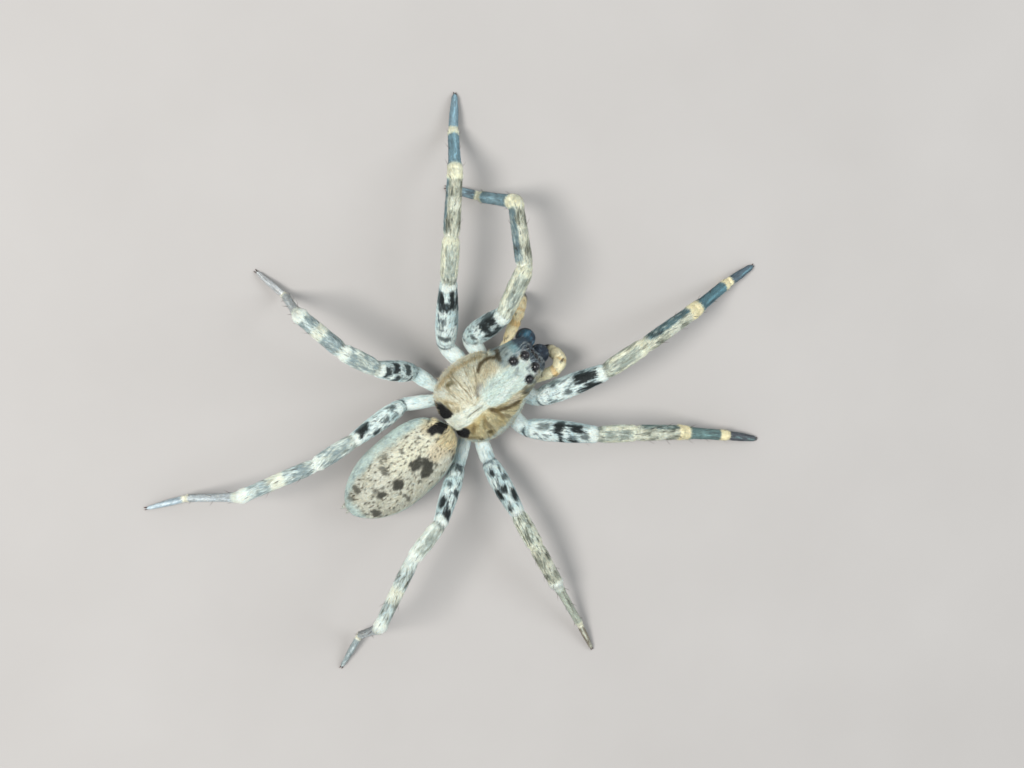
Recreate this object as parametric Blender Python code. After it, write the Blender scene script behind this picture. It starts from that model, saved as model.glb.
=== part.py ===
"""Wolf spider, life size, standing at rest on eight feet.

Built in metres about the middle of the carapace, +X towards the head, +Y the
spider's left, +Z up, and moved at the end so that the origin is the bottom
centre of the whole box. Lengths in the tables below are millimetres.
"""

import math

import bmesh
import bpy
from mathutils import Vector

MM = 0.001
GAP = 0.10  # between one solid and the next along a limb
EYE_GAP = 0.05  # clearance of an eye in its socket
FLOOR = 0.0  # height of the flats under the feet
FOOT_FALL = 14.0  # degrees that every tarsus slopes down to its tip
TIP_HEIGHT = 0.20  # height of the middle of a tarsus at its tip

BODY_SIDES = 20
LIMB_SIDES = 10
EYE_STEPS = (12, 7)

# Carapace sections: x, half width, rim height, top height.
CARAPACE = (
    (-4.70, 1.25, 3.75, 4.20),
    (-4.35, 2.25, 3.62, 4.85),
    (-3.65, 3.05, 3.50, 5.60),
    (-2.60, 3.50, 3.42, 6.18),
    (-1.40, 3.60, 3.40, 6.42),
    (-0.20, 3.45, 3.40, 6.42),
    (1.00, 2.98, 3.45, 6.38),
    (1.90, 2.45, 3.55, 6.42),
    (2.80, 2.16, 3.70, 6.40),
    (3.50, 2.00, 3.85, 6.14),
    (4.05, 1.84, 3.98, 5.62),
    (4.45, 1.62, 4.08, 5.02),
    (4.66, 1.38, 4.14, 4.66),
)
RIM_THICKNESS = 0.22
HEAD_START, HEAD_FULL = 0.6, 2.6  # where the section grows from an arch to a box

# Abdomen sections: x, half width, top height, bottom height.
ABDOMEN = (
    (-4.95, 0.50, 4.72, 3.72),
    (-5.12, 1.02, 5.12, 3.30),
    (-5.48, 1.56, 5.52, 2.88),
    (-6.20, 2.26, 5.92, 2.30),
    (-7.30, 2.72, 6.20, 1.82),
    (-8.65, 2.97, 6.36, 1.48),
    (-10.25, 3.02, 6.36, 1.30),
    (-11.85, 2.95, 6.10, 1.26),
    (-13.25, 2.60, 5.58, 1.38),
    (-14.45, 2.00, 4.82, 1.66),
    (-15.30, 1.28, 4.06, 2.02),
    (-15.80, 0.58, 3.44, 2.42),
)

# Sternum sections: x, half width. It fills the space between the coxae.
STERNUM = (
    (-3.85, 0.30),
    (-3.35, 0.80),
    (-2.40, 1.18),
    (-1.00, 1.32),
    (0.30, 1.12),
    (1.20, 0.85),
    (1.60, 0.55),
)
STERNUM_BOTTOM, STERNUM_TOP = 1.62, 3.05

PEDICEL = ((-4.97, 3.28), (-4.12, 2.80))  # both ends: x, height
PEDICEL_RADIUS = 0.30

# Eye rows: x, offset to the side, height, radius.
EYES = {
    "median": (3.80, 0.66, 6.00, 0.34),
    "lateral": (2.70, 1.02, 6.20, 0.32),
    "front_median": (4.42, 0.25, 5.06, 0.18),
    "front_lateral": (4.34, 0.66, 4.98, 0.16),
}

# Chelicera sections: x, offset, height, radius.
CHELICERA = (
    (4.44, 0.80, 3.54, 0.48),
    (4.68, 0.87, 3.36, 0.72),
    (4.84, 0.90, 2.98, 0.81),
    (4.86, 0.92, 2.40, 0.80),
    (4.78, 0.92, 1.75, 0.68),
    (4.70, 0.90, 1.40, 0.46),
)
FANG = (
    (4.72, 0.98, 1.24, 0.26),
    (4.74, 0.92, 0.98, 0.27),
    (4.62, 0.66, 0.82, 0.25),
    (4.42, 0.36, 0.84, 0.25),
)
LABIUM = ((1.78, 1.95), (2.62, 2.20))  # both ends: x, height
LABIUM_RADII = (0.42, 0.30)

# Spinnerets: offset to the side, height, length, radius, all fused at the root.
SPINNERETS = (
    (0.26, 1.64, 1.00, 0.27),
    (-0.26, 1.64, 1.00, 0.27),
    (0.22, 1.40, 0.72, 0.25),
    (-0.22, 1.40, 0.72, 0.25),
)
SPINNERET_ROOT = -15.30

# Each leg pair: where its coxa leaves the sternum, then its six lengths
# (coxa with trochanter, femur, patella, tibia, metatarsus, tarsus).
PAIRS = {
    1: ((0.95, 1.45, 2.20), (2.65, 6.4, 4.0, 5.8, 4.7, 2.8)),
    2: ((-0.45, 1.85, 2.20), (3.05, 6.3, 3.7, 5.3, 4.8, 2.9)),
    3: ((-3.45, 2.52, 2.20), (2.62, 5.08, 3.4, 4.6, 5.4, 3.0)),
    4: ((-3.40, 1.40, 2.20), (3.85, 6.2, 3.6, 6.7, 6.9, 3.5)),
}

# Pose: six headings, degrees from +X towards +Y, then the climbs of the first
# four. The metatarsus falls by whatever brings the foot to the floor.
POSE = {
    "leg1_l": ((82, 12.5, 23, 52.5, 135, 124), (5, 58, -3, -27)),
    "leg2_l": ((93, 50, 46, 43, 43, 44), (5, 26, 6, -13)),
    "leg3_l": ((103, 121, 109, 98, 96, 98), (5, 47, 16, -11)),
    "leg4_l": ((144, 163, 169, 162, 155, 155), (5, 39, 7, -6)),
    "leg1_r": ((-62, -14, -10, -13, -12, -12), (5, 26, -2, -20)),
    "leg2_r": ((-88, -43, -44, -49, -50, -53), (5, 26, -13, -26)),
    "leg3_r": ((-112, -103.5, -103, -103, -102, -105), (5, 17.5, -1, -14)),
    "leg4_r": ((-147, -161.2, -173, -156, -154, -158), (5, 47, 12, -5)),
}

# Radii along a segment, (share of its length, radius) from its near end.
COXA = ((0.0, 0.42), (0.22, 0.62), (0.55, 0.74), (0.80, 0.74))
FEMUR = ((0.0, 0.70), (0.12, 0.86), (0.32, 0.98), (0.62, 0.94), (0.88, 0.80), (1.0, 0.72))
PATELLA = ((0.0, 0.66), (0.22, 0.78), (0.62, 0.82), (0.88, 0.76))
TIBIA = ((0.0, 0.62), (0.16, 0.70), (0.50, 0.68), (0.84, 0.64), (1.0, 0.60))
METATARSUS = ((0.0, 0.56), (0.13, 0.60), (0.24, 0.50), (0.60, 0.46), (0.92, 0.46), (1.0, 0.42))
TARSUS = ((0.0, 0.40), (0.12, 0.42), (0.50, 0.40), (0.82, 0.32), (1.0, 0.25))
# Stoutness of each pair: coxa and femur, patella, tibia, metatarsus, tarsus.
STOUT = {
    1: (1.02, 1.00, 1.05, 1.12, 1.05),
    2: (1.00, 0.98, 1.04, 1.10, 1.05),
    3: (0.92, 0.97, 1.01, 0.83, 0.80),
    4: (0.84, 0.88, 0.92, 0.80, 0.80),
}

# Palps: trochanter joint, headings and climbs of femur, patella, tibia, tarsus.
PALP_LENGTHS = (2.2, 0.95, 1.25, 1.65)
PALPS = {
    "palp_l": ((3.40, 1.72, 2.62), (31, 27, 18, -5), (22, -18, -62, -70)),
    "palp_r": ((2.96, -2.24, 2.62), (-15, 21, 84, 138), (20, -13, -60, -71)),
}
PALP_BASE = (2.05, 1.20, 2.25)
PALP_FEMUR = ((0.0, 0.38), (0.20, 0.47), (0.60, 0.54), (0.90, 0.53), (1.0, 0.50))
PALP_PATELLA = ((0.0, 0.50), (0.40, 0.59), (0.80, 0.58))
PALP_TIBIA = ((0.0, 0.54), (0.25, 0.60), (0.75, 0.59), (1.0, 0.52))
PALP_TARSUS = ((0.0, 0.50), (0.25, 0.56), (0.60, 0.51), (0.88, 0.38), (1.0, 0.28))

HIDE = ("buff hide", (0.52, 0.46, 0.34, 1.0), 0.8)
PALE_HIDE = ("pale grey hide", (0.62, 0.64, 0.58, 1.0), 0.8)
DARK_HIDE = ("blue black hide", (0.05, 0.08, 0.10, 1.0), 0.7)
HORN = ("dark horn", (0.03, 0.015, 0.01, 1.0), 0.3)
EYE_GLASS = ("eye", (0.01, 0.01, 0.012, 1.0), 0.1)


def clear_scene():
    for obj in list(bpy.data.objects):
        bpy.data.objects.remove(obj, do_unlink=True)


def material(finish):
    name, colour, roughness = finish
    made = bpy.data.materials.new(name)
    made.use_nodes = True
    shader = made.node_tree.nodes["Principled BSDF"]
    shader.inputs["Base Color"].default_value = colour
    shader.inputs["Roughness"].default_value = roughness
    made.diffuse_color = colour
    return made


def add_object(name, bm, finish):
    """One named object from a closed bmesh in millimetres."""
    bmesh.ops.remove_doubles(bm, verts=bm.verts, dist=1e-4)
    bmesh.ops.recalc_face_normals(bm, faces=bm.faces)
    bmesh.ops.scale(bm, vec=(MM, MM, MM), verts=bm.verts)
    mesh = bpy.data.meshes.new(name)
    bm.to_mesh(mesh)
    bm.free()
    obj = bpy.data.objects.new(name, mesh)
    obj.data.materials.append(material(finish))
    bpy.context.scene.collection.objects.link(obj)
    return obj


def loft(bm, rings):
    """Skins a run of rings of points, all of one count, and caps both ends."""
    loops = [[bm.verts.new(point) for point in ring] for ring in rings]
    count = len(loops[0])
    for near, far in zip(loops, loops[1:]):
        for i in range(count):
            j = (i + 1) % count
            bm.faces.new((near[i], near[j], far[j], far[i]))
    bm.faces.new(reversed(loops[0]))
    bm.faces.new(loops[-1])


def smooth_step(low, high, value):
    share = min(max((value - low) / (high - low), 0.0), 1.0)
    return share * share * (3.0 - 2.0 * share)


def power(value, exponent):
    return math.copysign(abs(value) ** exponent, value)


# ---- body ------------------------------------------------------------------


def carapace_ring(x, half_width, rim, top):
    """An arch over the thorax that squares up to the steep sides of the head."""
    boxy = smooth_step(HEAD_START, HEAD_FULL, x)
    across, up = 1.0 - 0.25 * boxy, 1.0 - 0.30 * boxy
    steps = BODY_SIDES - 4
    ring = []
    for i in range(steps + 1):
        angle = math.pi * i / steps
        y = half_width * power(math.cos(angle), across)
        z = rim + (top - rim) * power(math.sin(angle), up)
        ring.append((x, y, z))
    inner = half_width - 0.5 * RIM_THICKNESS
    ring.append((x, -inner, rim - RIM_THICKNESS))
    ring.append((x, 0.0, rim - RIM_THICKNESS))
    ring.append((x, inner, rim - RIM_THICKNESS))
    return ring


def oval_ring(x, half_width, top, bottom):
    middle, half_height = (top + bottom) / 2, (top - bottom) / 2
    ring = []
    for i in range(BODY_SIDES):
        angle = 2 * math.pi * (i + 0.5) / BODY_SIDES
        ring.append((x, half_width * math.cos(angle), middle + half_height * math.sin(angle)))
    return ring


def build_carapace():
    bm = bmesh.new()
    loft(bm, [carapace_ring(*section) for section in CARAPACE])
    return add_object("carapace", bm, HIDE)


def build_abdomen():
    bm = bmesh.new()
    loft(bm, [oval_ring(*section) for section in ABDOMEN])
    return add_object("abdomen", bm, HIDE)


def build_sternum():
    """A shield between the coxae, its lower edge rounded."""
    bm = bmesh.new()
    rings = []
    for x, half_width in STERNUM:
        edge = STERNUM_BOTTOM + 0.30
        low = half_width * 0.72
        rings.append(
            (
                (x, -half_width, STERNUM_TOP),
                (x, -half_width, edge),
                (x, -low, STERNUM_BOTTOM),
                (x, low, STERNUM_BOTTOM),
                (x, half_width, edge),
                (x, half_width, STERNUM_TOP),
            )
        )
    loft(bm, rings)
    return add_object("sternum", bm, PALE_HIDE)


def build_rod(name, ends, radii, finish, sides=LIMB_SIDES):
    """A straight round bar in the middle plane between two points (x, height)."""
    start = Vector((ends[0][0], 0.0, ends[0][1]))
    end = Vector((ends[1][0], 0.0, ends[1][1]))
    bm = bmesh.new()
    along = (end - start).normalized()
    side = Vector((0.0, 1.0, 0.0))
    loft(
        bm,
        [
            round_ring(start, along, side, along, radii[0], sides),
            round_ring(end, along, side, along, radii[1], sides),
        ],
    )
    return add_object(name, bm, finish)


def build_spinnerets():
    """Four short cones with their roots fused into one body."""
    parts = []
    for offset, height, length, radius in SPINNERETS:
        part = bmesh.new()
        start = Vector((SPINNERET_ROOT, offset * 0.9, height))
        end = start + Vector((-length, offset * 0.25, -0.12))
        along = (end - start).normalized()
        side = Vector((0.0, 1.0, 0.0))
        rings = [
            round_ring(start, along, side, along, radius, LIMB_SIDES),
            round_ring(start.lerp(end, 0.7), along, side, along, radius * 0.9, LIMB_SIDES),
            round_ring(end, along, side, along, radius * 0.5, LIMB_SIDES),
        ]
        loft(part, rings)
        parts.append(add_object("spinneret_part", part, PALE_HIDE))
    return fuse("spinnerets", parts)


def fuse(name, parts):
    """Joins overlapping objects into one with exact unions."""
    first = parts[0]
    first.name = name
    for other in parts[1:]:
        join = first.modifiers.new("join", "BOOLEAN")
        join.operation = "UNION"
        join.solver = "EXACT"
        join.object = other
        apply_modifiers(first)
        bpy.data.objects.remove(other, do_unlink=True)
    return first


def apply_modifiers(obj):
    graph = bpy.context.evaluated_depsgraph_get()
    mesh = bpy.data.meshes.new_from_object(obj.evaluated_get(graph))
    obj.modifiers.clear()
    obj.data = mesh


# ---- eyes ------------------------------------------------------------------


def ball(name, centre, radius, finish):
    bm = bmesh.new()
    bmesh.ops.create_uvsphere(
        bm, u_segments=EYE_STEPS[0], v_segments=EYE_STEPS[1], radius=radius
    )
    bmesh.ops.translate(bm, vec=centre, verts=bm.verts)
    return add_object(name, bm, finish)


def build_eyes(carapace):
    """Eight balls, each in a round socket cut into the head."""
    for row, (x, offset, height, radius) in EYES.items():
        for side, sign in (("l", 1), ("r", -1)):
            centre = (x, sign * offset, height)
            socket = ball("socket", centre, radius + EYE_GAP, HIDE)
            cut = carapace.modifiers.new("socket", "BOOLEAN")
            cut.operation = "DIFFERENCE"
            cut.solver = "EXACT"
            cut.object = socket
            apply_modifiers(carapace)
            bpy.data.objects.remove(socket, do_unlink=True)
            ball(f"eye_{row}_{side}", centre, radius, EYE_GLASS)


# ---- limbs -----------------------------------------------------------------


def heading_climb(heading, climb):
    """Unit vector from its heading about +Z and its climb, in degrees."""
    h, c = math.radians(heading), math.radians(climb)
    return Vector((math.cos(h) * math.cos(c), math.sin(h) * math.cos(c), math.sin(c)))


def round_ring(centre, along, side, normal, radius, sides, shift=0.0):
    """A tube's section carried along the tube onto the plane of a mitre."""
    across = (side - side.dot(along) * along).normalized()
    up = along.cross(across)
    ring = []
    for i in range(sides):
        angle = 2 * math.pi * (i + 0.5) / sides
        offset = radius * (math.cos(angle) * across + math.sin(angle) * up)
        slide = (shift - offset.dot(normal)) / along.dot(normal)
        ring.append(centre + offset + slide * along)
    return ring


def level_side(along):
    side = Vector((0.0, 0.0, 1.0)).cross(along)
    return side.normalized() if side.length > 1e-3 else Vector((0.0, 1.0, 0.0))


def mitre(before, after):
    return (before + after).normalized()


def tube(name, joints, profiles, stout, planes, finish):
    """One limb node: straight lengths joined end to end, with mitred ends.

    joints are the points along it, profiles one radius table for each length
    and planes the normals of its two end faces.
    """
    rings = []
    lengths = [(b - a) for a, b in zip(joints, joints[1:])]
    ways = [length.normalized() for length in lengths]
    side = level_side(ways[0])
    for i, (start, length, way, profile) in enumerate(zip(joints, lengths, ways, profiles)):
        side = (side - side.dot(way) * way).normalized()
        first, last = i == 0, i == len(ways) - 1
        for share, radius in profile:
            at = start + share * length
            normal, shift = way, 0.0
            if share == 0.0:
                normal = planes[0] if first else mitre(ways[i - 1], way)
                shift = GAP / 2 if first else 0.0
            elif share == 1.0 and last:
                normal, shift = planes[1], -GAP / 2
            rings.append(round_ring(at, way, side, normal, radius * stout[i], LIMB_SIDES, shift))
    bm = bmesh.new()
    loft(bm, rings)
    return add_object(name, bm, finish)


def leg_joints(base, lengths, headings, climbs):
    """Joints of one leg from the coxa's base to the tip of the tarsus."""
    joints = [Vector(base)]
    for length, heading, climb in zip(lengths, headings, climbs):
        joints.append(joints[-1] + length * heading_climb(heading, climb))
    rise = TIP_HEIGHT + lengths[5] * math.sin(math.radians(FOOT_FALL))
    fall = math.degrees(math.asin((joints[-1].z - rise) / lengths[4]))
    joints.append(joints[-1] + lengths[4] * heading_climb(headings[4], -fall))
    joints.append(joints[-1] + lengths[5] * heading_climb(headings[5], -FOOT_FALL))
    return joints


def build_leg(name, pair, sign):
    (x, y, z), lengths = PAIRS[pair]
    joints = leg_joints((x, sign * y, z), lengths, *POSE[name])
    ways = [(b - a).normalized() for a, b in zip(joints, joints[1:])]
    coxa, patella, tibia, metatarsus, tarsus = STOUT[pair]
    knee, ankle, heel = (mitre(ways[i - 1], ways[i]) for i in (2, 4, 5))
    light = PALE_HIDE if pair > 2 else HIDE
    foot = PALE_HIDE if pair > 2 else DARK_HIDE
    tube(
        name + "_femur", joints[:3], (COXA, FEMUR), (coxa, coxa), (ways[0], knee), PALE_HIDE
    )
    tube(
        name + "_tibia", joints[2:5], (PATELLA, TIBIA), (patella, tibia), (knee, ankle), light
    )
    tube(name + "_metatarsus", joints[4:6], (METATARSUS,), (metatarsus,), (ankle, heel), foot)
    toe = tube(name + "_tarsus", joints[5:], (TARSUS,), (tarsus,), (heel, ways[5]), foot)
    for vertex in toe.data.vertices:
        vertex.co.z = max(vertex.co.z, FLOOR * MM)


def build_palp(name, sign):
    trochanter, headings, climbs = PALPS[name]
    x, y, z = PALP_BASE
    joints = [Vector((x, sign * y, z)), Vector(trochanter)]
    for length, heading, climb in zip(PALP_LENGTHS, headings, climbs):
        joints.append(joints[-1] + length * heading_climb(heading, climb))
    ways = [(b - a).normalized() for a, b in zip(joints, joints[1:])]
    knee, wrist = mitre(ways[1], ways[2]), mitre(ways[3], ways[4])
    base = ((0.0, 0.42), (0.45, 0.52), (0.75, 0.50))
    even = (1.0, 1.0)
    tube(name + "_femur", joints[:3], (base, PALP_FEMUR), even, (ways[0], knee), HIDE)
    tube(name + "_tibia", joints[2:5], (PALP_PATELLA, PALP_TIBIA), even, (knee, wrist), HIDE)
    tube(name + "_tarsus", joints[4:], (PALP_TARSUS,), even, (wrist, ways[4]), DARK_HIDE)


def build_jaw(side, sign):
    """A chelicera and the fang folded in under it."""
    for name, sections, finish in (
        ("chelicera", CHELICERA, DARK_HIDE),
        ("fang", FANG, HORN),
    ):
        points = [Vector((x, sign * y, z)) for x, y, z, _ in sections]
        rings = []
        across = Vector((1.0, 0.0, 0.0))
        for i, (point, section) in enumerate(zip(points, sections)):
            ahead = points[min(i + 1, len(points) - 1)] - points[max(i - 1, 0)]
            along = ahead.normalized()
            rings.append(round_ring(point, along, across, along, section[3], LIMB_SIDES))
        bm = bmesh.new()
        loft(bm, rings)
        add_object(f"{name}_{side}", bm, finish)


def centre_on_floor():
    """Moves everything so that the origin is the bottom centre of the whole box."""
    points = [v.co for obj in bpy.data.objects for v in obj.data.vertices]
    low = Vector([min(p[i] for p in points) for i in range(3)])
    high = Vector([max(p[i] for p in points) for i in range(3)])
    middle = (low + high) / 2
    move = Vector((-middle.x, -middle.y, -low.z))
    for obj in bpy.data.objects:
        for vertex in obj.data.vertices:
            vertex.co += move
    print("moved by", [round(v / MM, 3) for v in move], "mm")


def build():
    clear_scene()
    carapace = build_carapace()
    build_eyes(carapace)
    build_sternum()
    build_abdomen()
    build_rod("pedicel", PEDICEL, (PEDICEL_RADIUS, PEDICEL_RADIUS), PALE_HIDE)
    build_rod("labium", LABIUM, LABIUM_RADII, DARK_HIDE)
    build_spinnerets()
    for side, sign in (("l", 1), ("r", -1)):
        build_jaw(side, sign)
        build_palp("palp_" + side, sign)
        for pair in PAIRS:
            build_leg(f"leg{pair}_{side}", pair, sign)
    centre_on_floor()


build()
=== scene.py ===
"""A wolf spider as a life-size display model: skin, coat, eyes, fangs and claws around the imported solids."""
import math

import bpy
import numpy as np
from mathutils import Matrix, Vector
from mathutils.bvhtree import BVHTree


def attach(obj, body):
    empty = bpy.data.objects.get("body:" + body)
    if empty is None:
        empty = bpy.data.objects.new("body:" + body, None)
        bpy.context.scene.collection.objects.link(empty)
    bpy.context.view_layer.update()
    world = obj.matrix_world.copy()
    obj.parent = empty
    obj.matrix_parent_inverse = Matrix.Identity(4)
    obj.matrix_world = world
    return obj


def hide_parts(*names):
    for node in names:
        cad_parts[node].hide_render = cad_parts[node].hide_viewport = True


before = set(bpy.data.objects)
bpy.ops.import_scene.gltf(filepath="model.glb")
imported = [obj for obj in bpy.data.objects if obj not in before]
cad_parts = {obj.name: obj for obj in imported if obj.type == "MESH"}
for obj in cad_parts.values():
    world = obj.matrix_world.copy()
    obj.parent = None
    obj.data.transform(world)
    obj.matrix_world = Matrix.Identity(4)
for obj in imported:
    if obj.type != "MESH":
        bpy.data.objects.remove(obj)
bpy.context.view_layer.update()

MM = 0.001
SHIFT = np.array([2.256, 2.686, 0.0])  # body axes to the model's frame, mm
COAT_DEPTH = 0.075  # skin below the solids, mm
FOOT_DEPTH, JAW_DEPTH, SPINNERET_DEPTH = 0.055, 0.045, 0.03  # the same, where the coat is thinner
SKIN_VOXEL, FANG_VOXEL = 0.13, 0.035
SKIN_CLEARANCE, CLAW_CLEARANCE = 0.045, 0.004  # above the floor
rng = np.random.default_rng(1758)

# ---- sizes repeated from the solids: mm and degrees, x ahead, y to the left --------

# Stations of the carapace: x, half width, height of the rim, height of the top.
CARAPACE = (
    (-4.70, 1.25, 3.75, 4.20), (-4.35, 2.25, 3.62, 4.85), (-3.65, 3.05, 3.50, 5.60),
    (-2.60, 3.50, 3.42, 6.18), (-1.40, 3.60, 3.40, 6.42), (-0.20, 3.45, 3.40, 6.42),
    (1.00, 2.98, 3.45, 6.38), (1.90, 2.45, 3.55, 6.42), (2.80, 2.16, 3.70, 6.40),
    (3.50, 2.00, 3.85, 6.14), (4.05, 1.84, 3.98, 5.62), (4.45, 1.62, 4.08, 5.02),
    (4.66, 1.38, 4.14, 4.66),
)
HEAD_START, HEAD_FULL = 0.6, 2.6  # from where to where the arch grows square
HEAD_SQUARE_ACROSS, HEAD_SQUARE_UP = 0.25, 0.30
# Stations of the abdomen: x, half width, height of the top, height of the bottom.
ABDOMEN = (
    (-4.95, 0.50, 4.72, 3.72), (-5.12, 1.02, 5.12, 3.30), (-5.48, 1.56, 5.52, 2.88),
    (-6.20, 2.26, 5.92, 2.30), (-7.30, 2.72, 6.20, 1.82), (-8.65, 2.97, 6.36, 1.48),
    (-10.25, 3.02, 6.36, 1.30), (-11.85, 2.95, 6.10, 1.26), (-13.25, 2.60, 5.58, 1.38),
    (-14.45, 2.00, 4.82, 1.66), (-15.30, 1.28, 4.06, 2.02), (-15.80, 0.58, 3.44, 2.42),
)
# Stations of the breastplate: x, half width.
STERNUM = (
    (-3.85, 0.30), (-3.35, 0.80), (-2.40, 1.18), (-1.00, 1.32), (0.30, 1.12), (1.20, 0.85), (1.60, 0.55),
)
STERNUM_BOTTOM, STERNUM_TOP = 1.62, 3.05
# Waist and lip: x and z of both ends, then the radii there.
PEDICEL, PEDICEL_RADII = ((-4.97, 3.28), (-4.12, 2.80)), (0.30, 0.30)
LABIUM, LABIUM_RADII = ((1.78, 1.95), (2.62, 2.20)), (0.42, 0.30)
# Left eyes, jaws and fangs: x, y, z, radius; the right ones are their mirror image.
EYES = {
    "median": (3.80, 0.66, 6.00, 0.34), "lateral": (2.70, 1.02, 6.20, 0.32),
    "front_median": (4.42, 0.25, 5.06, 0.18), "front_lateral": (4.34, 0.66, 4.98, 0.16),
}
CHELICERA = (
    (4.44, 0.80, 3.54, 0.48), (4.68, 0.87, 3.36, 0.72), (4.84, 0.90, 2.98, 0.81),
    (4.86, 0.92, 2.40, 0.80), (4.78, 0.92, 1.75, 0.68), (4.70, 0.90, 1.40, 0.46),
)
FANG = ((4.72, 0.98, 1.24), (4.74, 0.92, 0.98), (4.62, 0.66, 0.82), (4.42, 0.36, 0.84))
FANG_RADII = (0.25, 0.22, 0.17, 0.07)
# Spinnerets: y, z, length, radius.
SPINNERETS = (
    (0.26, 1.64, 1.00, 0.27), (-0.26, 1.64, 1.00, 0.27), (0.22, 1.40, 0.72, 0.25), (-0.22, 1.40, 0.72, 0.25),
)
SPINNERET_START, SPINNERET_SPREAD, SPINNERET_FALL = -15.30, 0.25, 0.12
# Legs: the place of the left coxa, and the lengths from coxa to tarsus.
PAIRS = {
    1: ((0.95, 1.45, 2.20), (2.65, 6.4, 4.0, 5.8, 4.7, 2.8)),
    2: ((-0.45, 1.85, 2.20), (3.05, 6.3, 3.7, 5.3, 4.8, 2.9)),
    3: ((-3.45, 2.52, 2.20), (2.62, 5.08, 3.4, 4.6, 5.4, 3.0)),
    4: ((-3.40, 1.40, 2.20), (3.85, 6.2, 3.6, 6.7, 6.9, 3.5)),
}
# Pose: the heading of each length, then the climb of the first four; the feet reach the floor.
POSE = {
    "leg1_l": ((82, 12.5, 23, 52.5, 135, 124), (5, 58, -3, -27)),
    "leg1_r": ((-62, -14, -10, -13, -12, -12), (5, 26, -2, -20)),
    "leg2_l": ((93, 50, 46, 43, 43, 44), (5, 26, 6, -13)),
    "leg2_r": ((-88, -43, -44, -49, -50, -53), (5, 26, -13, -26)),
    "leg3_l": ((103, 121, 109, 98, 96, 98), (5, 47, 16, -11)),
    "leg3_r": ((-112, -103.5, -103, -103, -102, -105), (5, 17.5, -1, -14)),
    "leg4_l": ((144, 163, 169, 162, 155, 155), (5, 39, 7, -6)),
    "leg4_r": ((-147, -161.2, -173, -156, -154, -158), (5, 47, 12, -5)),
}
FOOT_FALL, TIP_HEIGHT = math.radians(14.0), 0.20
# Profiles from coxa to tarsus: share of the length, radius.
LEG_PROFILES = (
    ((0.0, 0.42), (0.22, 0.62), (0.55, 0.74), (0.80, 0.74), (1.0, 0.66)),
    ((0.0, 0.70), (0.12, 0.86), (0.32, 0.98), (0.62, 0.94), (0.88, 0.80), (1.0, 0.72)),
    ((0.0, 0.66), (0.22, 0.78), (0.62, 0.82), (0.88, 0.76), (1.0, 0.66)),
    ((0.0, 0.62), (0.16, 0.70), (0.50, 0.68), (0.84, 0.64), (1.0, 0.60)),
    ((0.0, 0.56), (0.13, 0.60), (0.24, 0.50), (0.60, 0.46), (0.92, 0.46), (1.0, 0.42)),
    ((0.0, 0.40), (0.12, 0.42), (0.50, 0.40), (0.82, 0.32), (1.0, 0.25)),
)
# How stout each pair of legs is: coxa with femur, patella, tibia, metatarsus, tarsus.
STOUT = {
    1: (1.02, 1.00, 1.05, 1.12, 1.05), 2: (1.00, 0.98, 1.04, 1.10, 1.05),
    3: (0.92, 0.97, 1.01, 0.83, 0.80), 4: (0.84, 0.88, 0.92, 0.80, 0.80),
}
# Palps: the left one's base, four lengths, then each one's first joint, headings and climbs.
PALP_BASE, PALP_LENGTHS = (2.05, 1.20, 2.25), (2.2, 0.95, 1.25, 1.65)
PALPS = {
    "palp_l": ((3.40, 1.72, 2.62), (31, 27, 18, -5), (22, -18, -62, -70)),
    "palp_r": ((2.96, -2.24, 2.62), (-15, 21, 84, 138), (20, -13, -60, -71)),
}
PALP_PROFILES = (
    ((0.0, 0.34), (0.5, 0.40), (1.0, 0.38)),
    ((0.0, 0.38), (0.20, 0.47), (0.60, 0.54), (0.90, 0.53), (1.0, 0.50)),
    ((0.0, 0.50), (0.40, 0.59), (0.80, 0.58), (1.0, 0.54)),
    ((0.0, 0.54), (0.25, 0.60), (0.75, 0.59), (1.0, 0.52)),
    ((0.0, 0.50), (0.25, 0.56), (0.60, 0.51), (0.88, 0.38), (1.0, 0.28)),
)


def side_of(name):
    """1 for a piece of the left side, -1 for one of the right."""
    return 1 if name.endswith("_l") else -1


def on_frame(x, y, z):
    """A place on the body's axes, in the model's frame."""
    return x + SHIFT[0], y + SHIFT[1], z


def chain(joints, lengths, headings, climbs):
    """The joints carried on, each one length further in its heading and climb."""
    joints = list(joints)
    for length, heading, climb in zip(lengths, headings, climbs):
        heading, climb = math.radians(heading), math.radians(climb)
        level = math.cos(climb)
        way = Vector((math.cos(heading) * level, math.sin(heading) * level, math.sin(climb)))
        joints.append(joints[-1] + length * way)
    return joints


def leg_joints(name):
    """The seven joints of a leg, from its coxa to its claws."""
    (x, y, z), lengths = PAIRS[int(name[3])]
    headings, climbs = POSE[name]
    joints = chain([Vector((x, side_of(name) * y, z))], lengths[:4], headings, climbs)
    rise = TIP_HEIGHT + lengths[5] * math.sin(FOOT_FALL)
    fall = math.degrees(math.asin((joints[-1].z - rise) / lengths[4]))
    return chain(joints, lengths[4:], headings[4:], (-fall, -math.degrees(FOOT_FALL)))


def palp_joints(name):
    """Base, trochanter and the four free joints of a palp."""
    first, headings, climbs = PALPS[name]
    x, y, z = PALP_BASE
    return chain([Vector((x, side_of(name) * y, z)), Vector(first)], PALP_LENGTHS, headings, climbs)


LIMBS = {name: np.array(leg_joints(name)) + SHIFT for name in POSE}
LIMBS.update({name: np.array(palp_joints(name)) + SHIFT for name in PALPS})
LIMB_NAMES = list(LIMBS)
# The solids of each kind of limb, and the lengths that each one holds.
LIMB_SOLIDS = {
    "leg": {"femur": (0, 1), "tibia": (2, 3), "metatarsus": (4,), "tarsus": (5,)},
    "palp": {"femur": (0, 1), "tibia": (2, 3), "tarsus": (4,)},
}


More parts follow.
